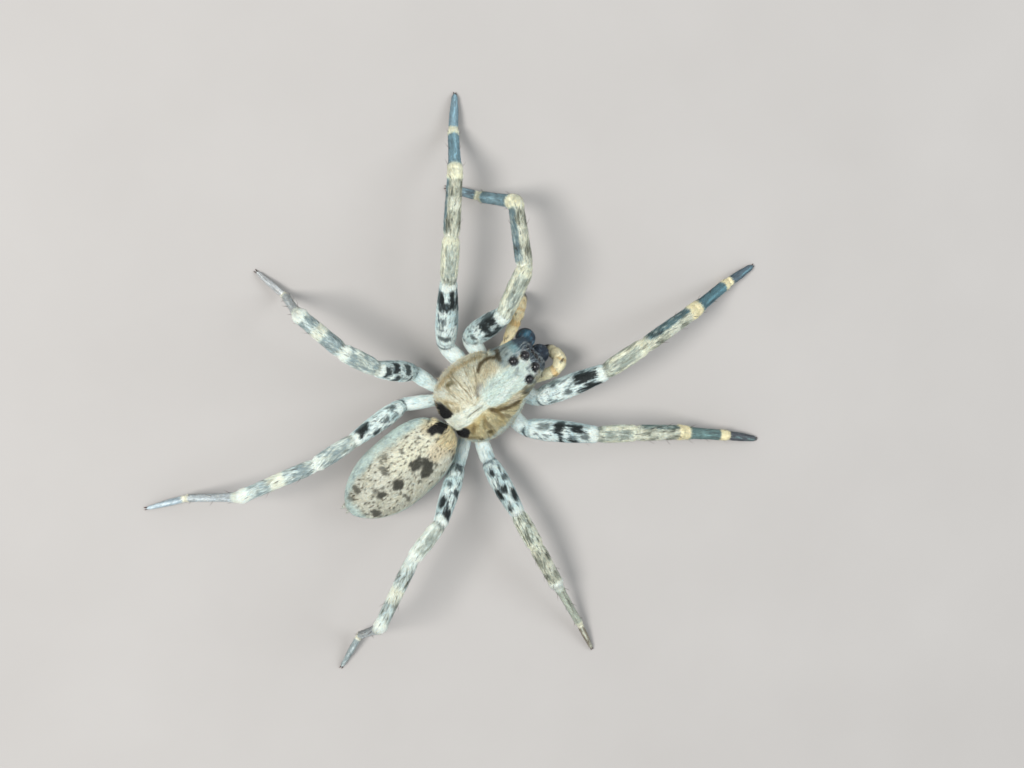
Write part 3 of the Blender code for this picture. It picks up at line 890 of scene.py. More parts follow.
def paint_patella(leg):
    """Patella: a darker oval window in a pale frame."""
    share, turn, fleck, patch, lay = leg.share, leg.turn, leg.fleck, leg.patch, leg.lay
    patella = leg.is_part[2]
    lay(leg.tones["patella"], patella * 0.85)
    window = patella * bump(share, 0.46, 0.27, 0.12) * bump(turn, 0.0, 0.55, 0.30)
    lay((148, 158, 150), window * (0.55 + 0.4 * smooth(0.4, 0.7, patch)))
    frame_line = bump(np.abs(turn), 0.95, 0.16, 0.25) * (share > 0.15) + bump(share, 0.95, 0.06, 0.05)
    lay(leg.tones["frame"], patella * frame_line * 0.85)
    lay((84, 88, 78), patella * smooth(0.68, 0.80, fleck) * 0.6)
    lay((90, 96, 88), patella * bump(share, 0.04, 0.03, 0.05) * smooth(0.35, 0.6, patch) * 0.6)


def paint_tibia(leg):
    """Tibia: mottled, with a pale waist and a pale or yellow far end; slate down one side in front."""
    share, turn, fleck, patch, lay = leg.share, leg.turn, leg.fleck, leg.patch, leg.lay
    tibia, tones = leg.is_part[3], leg.tones
    lay(tones["tibia"], tibia * 0.85)
    wavy = share + leg.wander
    mottle = bump(wavy, 0.24, 0.09, 0.06) + bump(wavy, 0.70, 0.11, 0.06)
    sides = 0.35 + 0.65 * smooth(0.25, 0.75, np.abs(turn - 0.1))
    lay(tones["mottle"], tibia * mottle * sides * tones["mottling"])
    lay((72, 76, 66), tibia * smooth(0.62, 0.76, fleck) * (0.2 + 0.6 * np.clip(mottle, 0, 1)))
    lay((98, 102, 92), tibia * smooth(0.74, 0.82, leg.thread) * 0.6)
    lay((240, 242, 222), tibia * bump(share, 0.50, 0.07, 0.06) * 0.75)
    start = 0.82 if leg.name == "leg2_r" else 0.86
    far_end = RING_TONES[side_of(leg.name)] if leg.front else COOL["frame"]
    lay(far_end, tibia * smooth(start, 0.90, share + leg.wander * 0.15))
    if leg.front:
        lean, wide = STRIPS[leg.name]
        slate = np.array(FEET[leg.name][0])
        strip = 1 - smooth(wide - 0.18, wide + 0.15, turn_off(turn, lean) + (fleck - 0.5) * 0.5)
        strip = strip * smooth(0.03, 0.12, share) * (1 - smooth(0.84, 0.92, share))
        lay(slate, tibia * strip * 0.95)
        lay(slate * 0.62, tibia * strip * smooth(0.55, 0.75, patch) * 0.7)


def paint_streaks(leg):
    """Fine streaks over patella and tibia, and greying on the rear left legs."""
    share, thread, lay = leg.share, leg.thread, leg.lay
    patella, tibia = leg.is_part[2:4]
    middle = patella | tibia
    if leg.name == "leg3_r":
        lay((236, 240, 222), patella * smooth(0.40, 0.60, leg.fleck) * 0.7)
        lay((92, 98, 84), patella * smooth(0.58, 0.68, thread) * (share < 0.85) * 0.75)
    depth = leg.tones["streaking"]
    lay((112, 116, 102), middle * (share < 0.88) * smooth(0.62, 0.74, thread) * depth)
    lay(leg.tones["streak"], middle * (share < 0.88) * (1 - smooth(0.26, 0.36, thread)) * depth)
    if leg.name in ("leg3_l", "leg4_l"):
        pale = tibia * bump(share, 0.50, 0.07, 0.06) + smooth(0.84, 0.90, share)
        pale = pale + 1 - smooth(0.03, 0.10, share)
        greying = smooth(0.42, 0.62, leg.patch * 0.6 + thread * 0.4) * (1 - np.clip(pale, 0, 1))
        lay((132, 148, 150), middle * greying * 0.85)


def paint_foot(leg):
    """Metatarsus and tarsus: slate blue with yellow rings in front, plain grey behind."""
    share, turn, fleck, lay = leg.share, leg.turn, leg.fleck, leg.lay
    metatarsus, tarsus = leg.is_part[4:]
    foot = metatarsus | tarsus
    shank, toe = (np.array(tone, float) * gain for tone, gain in zip(FEET[leg.name], (1.06, 1.04)))
    lay(shank, metatarsus)
    lay(toe, tarsus)
    lay(shank * 1.25, foot * smooth(0.55, 0.8, fleck) * 0.4)
    # Painted highlight: a pale line along the top of the foot.
    lay(shank * 1.40, foot * bump(turn, 0.0, 0.12, 0.22) * smooth(0.35, 0.6, leg.thread) * 0.7)
    # Painted shade: the foot darker round its sides and beneath.
    lay(shank * 0.70, foot * smooth(1.0, 1.7, np.abs(turn)) * 0.6)
    lay(toe * 0.6, foot * smooth(0.62, 0.85, 1 - fleck) * 0.5)
    if leg.front:
        start, end = RINGS[leg.name]
        heel = metatarsus * (1 - smooth(0.10, 0.16, share + leg.wander * 0.15))
        ankle = metatarsus * smooth(start - 0.02, start + 0.02, share)
        ankle = ankle + tarsus * (1 - smooth(end - 0.02, end + 0.02, share))
        lay(RING_TONES[side_of(leg.name)], heel + ankle)
    else:
        lay((226, 234, 220), metatarsus * (1 - smooth(0.07, 0.13, share)))
        ankle = metatarsus * smooth(0.91, 0.95, share) + tarsus * (1 - smooth(0.06, 0.12, share))
        lay((236, 234, 210), ankle)


def paint_leg(chart, here, name):
    leg = LegPaint(chart, here, name)
    for paint_part in (paint_femur, paint_patella, paint_tibia, paint_streaks, paint_foot):
        paint_part(leg)
    leg.lay((186, 190, 182), smooth(0.1, 0.9, -np.cos(leg.turn)) * 0.35 * (leg.part < 4))
    return leg.finished(leg.fine, 0.16)


def paint_palp(chart, here, name):
    """Palps: gold, browner at the joints, with a dark last length."""
    palp = Paint(chart, here, (240, 222, 178) if name == "palp_l" else (238, 230, 194))
    part, share = palp.part, palp.share
    palp.lay((244, 236, 204), smooth(0.45, 0.7, cloud(palp.points, 0.42, 301)) * 0.6)
    palp.lay((206, 168, 104), bump(share, 0.95, 0.08, 0.08) * (part < 3) * 0.6)
    palp.lay((52, 50, 44), smooth(0.66, 0.74, cloud(palp.points, 0.30, 305)) * (part < 4) * 0.75)
    palp.lay((222, 222, 200), (part == 0) * 0.6)
    palp.lay((58, 60, 62), (part == 4) * smooth(0.1, 0.45, share))
    return palp.finished(grain(palp.points, 0.14, 303), 0.20)


# The pale band along the carapace: x, its left half width and its right one.
BAND = (
    (-4.9, 0.62, 0.60), (-4.4, 0.66, 0.62), (-3.9, 0.72, 0.62), (-3.3, 0.66, 0.55), (-2.6, 0.52, 0.46),
    (-2.0, 0.42, 0.40), (-1.4, 0.55, 0.50), (-0.8, 0.96, 0.82), (0.0, 1.08, 1.10), (1.0, 1.10, 1.16),
    (2.0, 0.98, 1.18), (3.0, 0.86, 1.12), (3.8, 0.72, 0.92), (4.4, 0.60, 0.80),
)
# Dark marks on the carapace: a line of places, half width, softness, tone, depth.
CARAPACE_MARKS = (
    (((-1.25, 0.85), (-0.70, 1.25)), 0.08, 0.26, (146, 144, 136), 0.75),
    (((-0.10, 2.15), (0.55, 2.38), (1.10, 2.34), (1.75, 2.06)), 0.04, 0.15, (82, 68, 42), 0.90),
    (((1.85, 1.75), (2.20, 2.30)), 0.10, 0.18, (72, 62, 44), 0.85),
    (((-2.62, 2.80), (-2.25, 2.78)), 0.10, 0.12, (104, 96, 64), 0.75),
    (
        ((-3.60, 2.95), (-2.60, 3.22), (-1.40, 3.30), (-0.20, 3.12), (0.90, 2.72)),
        0.04, 0.14, (176, 150, 100), 0.60,
    ),
    (((-3.95, 2.30), (-3.35, 1.60), (-3.00, 1.15)), 0.05, 0.26, (184, 168, 128), 0.55),
    (((-1.55, -0.42), (-1.05, -1.05), (-0.20, -1.62), (0.85, -2.00)), 0.07, 0.16, (82, 68, 38), 0.90),
    (((-1.00, -1.10), (-1.00, -2.10)), 0.05, 0.16, (128, 108, 62), 0.60),
    (((-2.10, -0.75), (-2.70, -1.70)), 0.05, 0.20, (134, 114, 68), 0.55),
    (((-3.20, -0.80), (-3.70, -1.45)), 0.06, 0.20, (120, 100, 58), 0.55),
    (((-4.20, -1.60), (-3.60, -2.10)), 0.06, 0.16, (120, 104, 66), 0.60),
    (((-3.60, -2.40), (-3.52, -2.44)), 0.08, 0.10, (84, 76, 46), 0.85),
    (((-2.64, -2.24), (-2.50, -2.34)), 0.10, 0.10, (84, 76, 46), 0.85),
    (((1.50, -1.60), (1.75, -1.90)), 0.06, 0.14, (76, 68, 50), 0.80),
)
FOVEA = ((-3.2, -0.05), (-2.6, 0.02), (-1.9, -0.08))
FOVEA_X = -1.9  # the carapace's streaks and furrows run out from here


class ShellPaint(Paint):
    """The paint of the carapace, with the noises and measures that its markings share."""

    def __init__(self, chart, here):
        super().__init__(chart, here, (202, 192, 152))
        self.left, self.right = self.y > 0, self.y <= 0
        self.rim = rim_at(self.x)
        self.out = np.abs(self.y) / station(CARAPACE, 1, self.x)
        self.patch = cloud(self.points, 0.6, 401)
        self.fine = grain(self.points, 0.13, 403)
        self.mid = grain(self.points, 0.30, 404)


def paint_thorax(shell):
    """Buff to the left and olive to the right, streaked out from the fovea."""
    x, y, left, right, lay = shell.x, shell.y, shell.left, shell.right, shell.lay
    patch, mid = shell.patch, shell.mid
    bearing, far = np.arctan2(y, x - FOVEA_X), np.hypot(y, x - FOVEA_X)
    ray = strokes(bearing * 5.5, far * 0.45, 7.0, 407)
    thin_ray = strokes(bearing * 17.0, far * 0.7, 3.0, 408)
    lay((216, 216, 197), left)
    lay((188, 182, 154), left * smooth(0.50, 0.75, ray) * 0.6)
    lay((174, 156, 106), right * smooth(0.45, 0.70, ray) * 0.7)
    lay((232, 228, 206), smooth(0.50, 0.70, thin_ray) * np.where(left, 0.7, 0.35))
    lay((124, 112, 80), smooth(0.58, 0.70, thin_ray * 0.7 + mid * 0.3) * np.where(left, 0.6, 0.7))
    lay((194, 184, 154), spot(x, y, 0.55, 1.80, 1.15, 0.55) * 0.7)
    lay((160, 140, 94), spot(x, y, -3.75, -0.95, 0.80, 0.40) * 0.5)
    lay((214, 202, 158), spot(x, y, -3.7, -1.8, 0.9, 0.6) * 0.7)
    lay((196, 188, 166), spot(x, y, 0.65, -1.50, 0.75, 0.32) * 0.8)
    # A fan of fine lines left of the fovea.
    fan = bump(bearing, 1.75, 0.55, 0.25) * smooth(0.5, 0.9, far) * (1 - smooth(2.2, 2.9, far))
    wave = 0.5 + 0.5 * np.sin(bearing * 46.0 + 7.0 * (patch - 0.5) + 2.5 * (mid - 0.5) + far * 0.8)
    lay((158, 144, 112), fan * smooth(0.70, 0.95, wave) * (0.15 + 0.5 * patch))
    lay((240, 238, 222), fan * smooth(0.60, 0.90, 1 - wave) * 0.35)


def paint_edge(shell):
    """A pale edge, wide and bluish to the right."""
    x, y, left, right, lay = shell.x, shell.y, shell.left, shell.right, shell.lay
    ragged = shell.patch - 0.5
    edge = np.where(
        left, smooth(0.90, 0.97, shell.out + ragged * 0.06), smooth(0.74, 0.84, shell.out + ragged * 0.14)
    )
    edge = np.maximum(edge * (x < 1.6), 1 - smooth(0.25, 0.55, shell.z - shell.rim))
    edge = edge * (1 - smooth(1.4, 2.2, x))
    lay((232, 228, 208), edge * left * 0.95)
    lay((210, 222, 214), edge * right * 0.95)
    lay((120, 130, 124), edge * right * smooth(0.64, 0.78, shell.mid) * 0.5)
    lay((224, 228, 216), spot(x, y, -3.75, 2.9, 0.8, 0.7) * 0.7)


def paint_flanks(shell):
    """Head flanks: bare blue grey to the left, olive to the right; then the dark marks."""
    x, y, left, right, lay = shell.x, shell.y, shell.left, shell.right, shell.lay
    fine, mid = shell.fine, shell.mid
    flank = smooth(1.2, 1.9, x) * smooth(0.98, 1.20, np.abs(y) + (shell.patch - 0.5) * 0.3)
    ahead = smooth(1.9, 2.4, x)
    lay((146, 160, 158), flank * left * 0.95)
    lay((122, 158, 164), flank * left * smooth(2.9, 3.5, x) * 0.9)
    lay((106, 104, 86), flank * right * (1 - ahead) * 0.95)
    lay((146, 142, 118), flank * right * ahead * 0.95)
    lay((186, 194, 186), flank * smooth(0.58, 0.74, fine) * 0.55)
    lay((84, 96, 98), flank * smooth(0.60, 0.74, mid) * 0.5)
    for route, width, soft, tone, depth in CARAPACE_MARKS:
        line = streak(x + (mid - 0.5) * 0.12, y + (fine - 0.5) * 0.10, route, width, soft)
        lay(tone, line * depth * smooth(0.30, 0.60, shell.z - shell.rim))


def paint_band(shell):
    """The band: as wide as the head, drawn in at the fovea, then a cream lobe between black patches."""
    x, y, z, left, patch, lay = shell.x, shell.y, shell.z, shell.left, shell.patch, shell.lay
    lengthwise = strokes(x * 1.1, y * 7.0, z * 2.0, 409)
    width = np.where(left, station(BAND, 1, x), station(BAND, 2, x))
    soft = np.where(left & (x > -1.2) & (x < 1.8), 0.30, 0.12)
    off = np.abs(y) - width + (patch - 0.5) * 0.22 + (lengthwise - 0.5) * 0.10
    band = 1 - smooth(-soft, soft, off)
    lay(np.where((x < -1.2)[:, None], (218, 222, 206), (206, 220, 210)), band)
    lay((182, 190, 180), band * smooth(0.55, 0.72, lengthwise) * 0.55)
    lay((242, 244, 236), band * smooth(0.60, 0.80, 1 - lengthwise) * 0.5)
    crown = smooth(1.6, 2.6, x) * band
    lay((96, 110, 112), crown * smooth(0.66, 0.76, shell.mid) * 0.7)
    lay((112, 128, 130), (0.5 * band + 0.5 * crown) * smooth(0.64, 0.74, shell.fine) * 0.8)
    lay((232, 244, 240), crown * smooth(0.55, 0.7, shell.fine) * 0.6)
    lay((128, 122, 104), streak(x, y, FOVEA, 0.02, 0.09) * 0.8)
    # Black patches on the rear slope: black hair, and painted shadow of the gap between carapace and abdomen.
    ragged_x = x + (patch - 0.5) * 0.5
    black_left = spot(ragged_x, y, -4.75, 1.30, 0.92, 1.02, 0.18) * left
    black_right = spot(ragged_x, y, -4.35, -1.05, 0.60, 0.52, 0.18) * shell.right
    lay(VELVET_AND_GAP_SHADOW, np.maximum(black_left, black_right) * (band < 0.6) * (z > shell.rim - 0.25))
    lay((150, 138, 104), spot(x, y, -3.7, 1.45, 0.42, 0.5) * (1 - band) * smooth(0.4, 0.6, shell.mid) * 0.8)
    lay((178, 180, 168), 1 - smooth(-0.25, 0.0, z - shell.rim))


def paint_face(shell, body):
    """The face: dark between and below the front eyes."""
    face = smooth(3.62, 3.95, shell.x + (shell.patch - 0.5) * 0.5) * (shell.z < 5.9)
    shell.lay((48, 62, 74), face * 0.92)
    shell.lay((118, 128, 136), face * smooth(0.66, 0.80, shell.fine) * 0.4)
    for row, _, far in eye_distances(body):
        if row == "median":
            shell.lay((204, 196, 198), bump(far, 1.80, 0.10, 0.14) * smooth(0.35, 0.6, shell.mid) * 0.5)
        shell.lay((30, 32, 36), 1 - smooth(1.20, 1.60, far))


def paint_carapace(chart, here):
    shell = ShellPaint(chart, here)
    for paint_part in (paint_thorax, paint_edge, paint_flanks, paint_band):
        paint_part(shell)
    paint_face(shell, chart.body[here])
    return shell.finished(shell.fine, 0.14)


# Abdomen blotches: x, y, half length, half width, depth of black. The one at x -6.15, y -2.00 is painted
# shadow in the gap beside the carapace.
BLOTCHES = (
    (-8.58, 0.00, 0.66, 0.36, 1.0), (-9.00, 0.30, 0.26, 0.20, 0.9), (-8.52, -1.08, 0.66, 0.30, 1.0),
    (-8.10, -0.54, 0.44, 0.62, 1.0), (-10.95, -0.25, 0.50, 0.36, 1.0), (-12.68, -0.10, 0.38, 0.26, 0.85),
    (-12.75, 0.48, 0.24, 0.24, 0.4), (-14.10, -1.25, 0.30, 0.50, 0.75), (-11.20, -1.60, 0.20, 0.50, 0.55),
    (-13.92, 1.38, 0.26, 0.42, 0.6), (-14.88, 1.10, 0.28, 0.30, 0.5), (-11.05, 1.35, 0.26, 0.40, 0.55),
    (-8.95, 1.60, 0.16, 0.34, 0.45), (-14.90, -0.82, 0.24, 0.16, 0.5), (-14.95, 0.10, 0.14, 0.12, 0.45),
    (-9.30, 0.76, 0.18, 0.10, 0.5), (-12.10, 0.36, 0.18, 0.11, 0.45), (-12.50, 2.40, 0.22, 0.16, 0.35),
    (-10.30, 2.10, 0.30, 0.12, 0.35), (-14.10, 0.10, 0.14, 0.10, 0.35), (-6.15, -2.00, 0.30, 0.22, 0.7),
    (-7.60, 1.25, 0.20, 0.12, 0.3),
)
# The black wedge at the front of the abdomen: black hair, and painted shadow of the gap between carapace and
# abdomen.
BLACK_WEDGE = ((-6.05, 1.05), (-5.55, 0.88), (-4.95, 0.62))  # next to the carapace's left patch


def paint_abdomen(chart, here):
    """Cream, specked and blotched with black above; bluish flanks and a brownish belly."""
    sack = Paint(chart, here, (187, 187, 172))
    x, y, z, lay = sack.x, sack.y, sack.z, sack.lay
    patch = cloud(sack.points, 0.7, 501)
    ragged = grain(sack.points, 0.22, 503)
    fine = grain(sack.points, 0.13, 505)
    out = np.abs(y) / station(ABDOMEN, 1, x)
    up = z - (station(ABDOMEN, 2, x) + station(ABDOMEN, 3, x)) / 2
    above, below = smooth(-0.1, 0.35, up / 2.0), 1 - smooth(-0.9, -0.4, up / 2.0)
    lay((172, 171, 152), smooth(0.4, 0.65, patch) * 0.55)
    lay((216, 219, 208), smooth(0.55, 0.75, ragged) * 0.5)
    lay((222, 220, 196), spot(x, y, -8.2, 1.0, 2.4, 1.0, 0.5) * 0.5)
    # Reddish tan over the heart, tan on the shoulder.
    lay((198, 186, 158), spot(x, y + (ragged - 0.5) * 0.3, -6.4, -0.45, 1.35, 0.75, 0.35) * 0.75)
    lay((180, 168, 138), spot(x, y, -6.1, 1.5, 0.5, 0.6, 0.5) * 0.7)
    shoulder = smooth(-6.6, -5.5, x)
    lay((196, 186, 152), shoulder * 0.7)
    lay((136, 118, 84), shoulder * smooth(0.56, 0.68, strokes(x * 2.0, y * 9.0, z, 511)) * 0.6)
    # Fine black specks, thickest on the left shoulder, and a few larger ones.
    dense = 0.50 + 0.35 * smooth(-10.5, -9.5, x) * smooth(0.2, 0.7, y) - 0.25 * smooth(-1.2, -2.0, y)
    jitter = (fine - 0.5) * 0.06
    lay((74, 70, 56), specks(x + jitter, y, 0.31, 0.062, 507, dense) * above * 0.9)
    lay((78, 78, 68), specks(x + 0.17, y + jitter, 0.80, 0.095, 521, 0.4) * above * 0.7)
    for bx, by, rx, ry, depth in BLOTCHES:
        far = ((np.abs(x - bx) / rx) ** 2.6 + (np.abs(y - by) / ry) ** 2.6) ** (1 / 2.6)
        far = far + (ragged - 0.5) * 0.95 + (patch - 0.5) * 0.45
        lay((104, 102, 90), (1 - smooth(1.05, 1.35, far)) * above * depth * 0.5)
        lay((60, 60, 52), (1 - smooth(0.86, 1.12, far)) * above * depth)
    # Flanks and rear edge pale, bluish.
    start, end = np.where(y > 0, 0.74, 0.82), np.where(y > 0, 0.90, 0.97)
    flank = smooth(start, end, out + (patch - 0.5) * 0.12) * smooth(-5.6, -6.4, x)
    flank = np.maximum(np.maximum(flank, smooth(-14.6, -15.4, x)), 1 - above)
    lay((186, 204, 198), flank * 0.9)
    lay((132, 150, 152), flank * smooth(0.50, 0.75, ragged * 0.5 + patch * 0.5) * 0.75)
    lay((176, 170, 152), below * 0.7)
    half_length, half_width = 4.4 + 1.6 * (ragged - 0.5), 1.05 + 0.08 * (x + 10.3)
    belly = spot(x, y + (patch - 0.5) * 0.7, -10.3, 0.0, half_length, half_width, 0.45)
    lay((112, 106, 92), below * belly * (0.45 + 0.4 * smooth(0.35, 0.7, ragged)))
    # The black wedge by the waist: black hair, and painted shadow of the gap between carapace and abdomen.
    wedge = streak(x + (ragged - 0.5) * 0.25, y, BLACK_WEDGE, 0.22, 0.16)
    wedge = np.maximum(wedge, spot(x + (ragged - 0.5) * 0.3, y, -5.10, 0.80, 0.68, 0.86, 0.15))
    lay(VELVET_AND_GAP_SHADOW, wedge * (up > -0.1))
    return sack.finished(fine, 0.14)


SMALL_GROUNDS = {
    "chelicera_l": (38, 50, 64), "chelicera_r": (38, 50, 64), "sternum": (150, 146, 134),
    "labium": (84, 62, 46), "spinnerets": (176, 178, 168), "pedicel": (120, 112, 96),
}


def paint_small(chart, here, name):
    """Breastplate, waist, lip, jaws and spinnerets."""
    small = Paint(chart, here, SMALL_GROUNDS[name])
    x, y, z, lay = small.x, small.y, small.z, small.lay
    patch = cloud(small.points, 0.4, 601)
    fine = grain(small.points, 0.14, 603)
    if name.startswith("chelicera"):
        # Painted highlight: teal where light catches the hairs on the upper part of the left jaw.
        lay((62, 108, 128), smooth(0.35, 0.6, patch) * (y > 0) * smooth(2.6, 3.3, z) * 0.85)
        lay((104, 120, 130), smooth(0.60, 0.72, fine) * 0.75)
        lay((30, 26, 26), (z < 1.9) * 0.7)
    elif name == "sternum":
        lay((74, 68, 58), spot(x, y + (patch - 0.5) * 0.4, -1.2, 0.0, 1.9, 0.75, 0.5) * 0.8)
        lay((198, 200, 190), smooth(0.50, 0.72, patch) * 0.5)
    elif name == "spinnerets":
        lay((110, 108, 98), smooth(0.5, 0.7, patch) * 0.6)
    return small.finished(fine, 0.24)


def paint(chart):
    """The colour of each point, 0 to 255 as a screen shows it."""
    colour = np.empty((len(chart.points), 3))
    for name, limb, here in chart.solids():
        if limb in POSE:
            colour[here] = paint_leg(chart, here, limb)
        elif limb in PALPS:
            colour[here] = paint_palp(chart, here, limb)
        elif name == "carapace":
            colour[here] = paint_carapace(chart, here)
        elif name == "abdomen":
            colour[here] = paint_abdomen(chart, here)
        else:
            colour[here] = paint_small(chart, here, name)
    return colour


PALEST = 0.95  # no hair is paler than this


def linear(colour):
    """A colour from 0 to 255 as a screen shows it, made linear."""
    share = colour / 255.0
    return np.where(share <= 0.04045, share / 12.92, ((share + 0.055) / 1.055) ** 2.4)


def give_tint(piece, colour, gain=1.0):
    """Keeps a colour for each vertex, made linear, under the name the materials read."""
    layer = piece.data.attributes.new("tint", "FLOAT_COLOR", "POINT")
    full = np.ones((len(colour), 4), np.float32)
    pure = linear(np.clip(colour, 0, 255))
    most = np.maximum(pure.max(axis=1, keepdims=True), 1e-4)
    full[:, :3] = pure * np.minimum(gain, PALEST / most)
    layer.data.foreach_set("color", full.ravel())


# ---- relief of the skin ------------------------------------------------------

FURROW_BEARINGS = (0.95, 1.45, 1.95, 2.45)  # radians from straight ahead, on both sides of the carapace
BACK_DIMPLES = ((-8.1, 0.75), (-10.1, 0.95), (-12.0, 0.9))  # x, y of the left ones


def relief_of_carapace(chart):
    """Fovea, the furrows between head and thorax and beside it, the edge, and rims round the eyes."""
    x, y, z = chart.body.T
    out = -0.14 * bell(y, 0.0, 0.13) * smooth(-3.6, -3.1, x) * (1 - smooth(-1.8, -1.2, x))
    line = np.abs(y) - (0.55 + 0.62 * (x + 1.6))
    here = smooth(-1.6, -0.9, x) * (1 - smooth(1.5, 2.1, x)) * (np.abs(y) > 0.4)
    out -= 0.12 * here * bell(line, 0.0, 0.26)
    bearing, far = np.abs(np.arctan2(y, x - FOVEA_X)), np.hypot(y, x - FOVEA_X)
    ring = smooth(0.7, 1.3, far) * (1 - smooth(2.6, 3.1, far))
    for furrow in FURROW_BEARINGS:
        across = far * np.sin(np.clip(bearing - furrow, -1.5, 1.5))
        out -= 0.07 * bell(across, 0.0, 0.22) * ring * (x < 1.2)
    out += 0.04 * bell(z - rim_at(x), 0.12, 0.16)
    for _, radius, near in eye_distances(chart.body):
        out += 0.10 * radius / 0.33 * bell(near, 1.22, 0.20)
        out -= 0.05 * (near < 0.9)
    return out


def relief_of_abdomen(chart):
    """Paired dimples along the back, and the fold across the belly."""
    x, y, z = chart.body.T
    out = -0.07 * bell(x, -7.6, 0.12) * (z < 2.4) * (np.abs(y) < 1.9)
    for px, py in BACK_DIMPLES:
        out -= 0.06 * bell(x, px, 0.22) * bell(np.abs(y), py, 0.18) * (z > 4)
    return out


def relief_of_limbs(chart):
    """Tight joints, swollen ends, a knee and heel on the legs, and a slight unevenness."""
    part, share, reach = chart.part, chart.share, chart.reach
    end = np.minimum(reach, np.abs(1 - share) * reach / np.maximum(share, 0.02))
    out = -0.055 * bell(reach, 0.0, 0.10) * (part >= 1)
    out += 0.030 * bell(end, 0.30, 0.13) * (share > 0.5)
    out += 0.012 * (cloud(chart.points, 0.55, 71) - 0.5) * 2
    heel = (part == 3) * smooth(0.86, 0.93, share) + (part == 4) * (1 - smooth(0.03, 0.10, share))
    knee = bell(share, 0.90, 0.09) * (part == 2)
    return out + (0.055 * heel + 0.028 * knee) * np.char.startswith(chart.names(), "leg")


def relief(chart):
    """How far each point of the skin moves out, mm."""
    names = chart.names()
    return (
        (names == "carapace") * relief_of_carapace(chart) + (names == "abdomen") * relief_of_abdomen(chart)
        + (chart.limb >= 0) * relief_of_limbs(chart)
    )


skin_owner = owners_of(places(skin))
lifted = places(skin) + normals(skin) * relief(Chart(places(skin), skin_owner))[:, None]
lifted[:, 2] = np.maximum(lifted[:, 2], SKIN_CLEARANCE)
set_places(skin, lifted)
apply_modifier(skin, "SMOOTH", factor=0.35, iterations=1)
skin_chart = Chart(places(skin), skin_owner)
give_tint(skin, paint(skin_chart))

# ---- materials --------------------------------------------------------------


def ranged(tree, value, low, high, start=0.3, end=0.7):
    """Stretches a value from start to end over low to high."""
    inputs = [("Value", value), ("From Min", start), ("From Max", end), ("To Min", low), ("To Max", high)]
    return node(tree, "ShaderNodeMapRange", inputs).outputs["Result"]


def tinted_material(name, shine, low, high, speckle, roughness, relief_height, relief_scale):
    """Reads the tint, breaks it up with noise and gives it a fine relief."""
    material, tree, shader = new_material(name, Specular_IOR_Level=shine)
    tint = node(tree, "ShaderNodeAttribute", attribute_name="tint", attribute_type="GEOMETRY")
    fleck = noise(tree, speckle, 5.0, 0.65)
    inputs = [(0, tint.outputs["Color"]), ("Scale", ranged(tree, fleck, low, high))]
    shade = node(tree, "ShaderNodeVectorMath", inputs, operation="SCALE")
    tree.links.new(shade.outputs["Vector"], shader.inputs["Base Color"])
    tree.links.new(ranged(tree, fleck, roughness - 0.08, roughness + 0.10), shader.inputs["Roughness"])
    inputs = [("Height", noise(tree, relief_scale, 3.0)), ("Distance", relief_height), ("Strength", 0.6)]
    tree.links.new(node(tree, "ShaderNodeBump", inputs).outputs["Normal"], shader.inputs["Normal"])
    return material


skin.data.materials.append(tinted_material("hide", 0.35, 0.72, 1.02, 7000.0, 0.55, 0.00004, 14000.0))
select_only(skin)
bpy.ops.object.shade_smooth()

# ---- coat: hairs of a few faces each, joined by region --------------------------

PATCH = 0.0015  # half a hair's patch on the OFBake map
JAW_AXIS, JAW_FOOT, JAW_HEIGHT = (4.75, 0.9), 1.1, 3.2  # what a jaw's strip of the map goes round and along
COAT_GAIN = 1.30  # hairs shade each other, so each is a little paler than the coat looks
# For each kind of hair: its faces, where its corners lie on its patch, and their shade from root to tip.
SHORT_HAIR = (
    np.array([[0, 1, 2], [0, 3, 1], [1, 3, 2], [2, 3, 0]]),
    np.array([[-1, -1], [1, -1], [0, 1], [0, -0.3]]),
    np.array([0.86, 0.86, 0.93, 1.06]),
)
LONG_HAIR = (
    np.array([
        [0, 1, 2], [0, 3, 1], [1, 3, 4], [1, 4, 2], [2, 4, 5],
        [2, 5, 0], [0, 5, 3], [3, 6, 4], [4, 6, 5], [5, 6, 3],
    ]),
    np.array([[-1, -1], [1, -1], [0, 1], [-0.5, -0.6], [0.5, -0.6], [0, 0.4], [0, -0.3]]),
    np.array([0.80, 0.80, 0.86, 0.96, 0.96, 1.0, 1.12]),
)


def hair_axes(lie, normal):
    side = unit(np.cross(lie, normal))
    return side, unit(np.cross(side, lie))


def short_hairs(root, lie, normal, length, width):
    """Corners of closed, flat, tapering hairs: three at the root and one at the tip."""
    side, thick = hair_axes(lie, normal)
    length, width = length[:, None], width[:, None]
    base = root - normal * 0.015
    keel = base + thick * (width * 0.35) + lie * (width * 0.5)
    return np.stack([base - side * (width / 2), base + side * (width / 2), keel, root + lie * length], axis=1)


def long_hairs(root, lie, normal, length, width, droop):
    """Corners of longer hairs with a bend at the middle."""
    side, thick = hair_axes(lie, normal)
    length, half = length[:, None], width[:, None] / 2
    middle = root + lie * (length * 0.5)
    corners = []
    for centre, size in ((root - normal * 0.02, 1.0), (middle, 0.7)):
        wide = side * (half * size)
        corners += [centre - wide, centre + wide, centre + thick * (half * size * 0.9)]
    return np.stack([*corners, middle + unit(lie - normal * droop) * (length * 0.5)], axis=1)


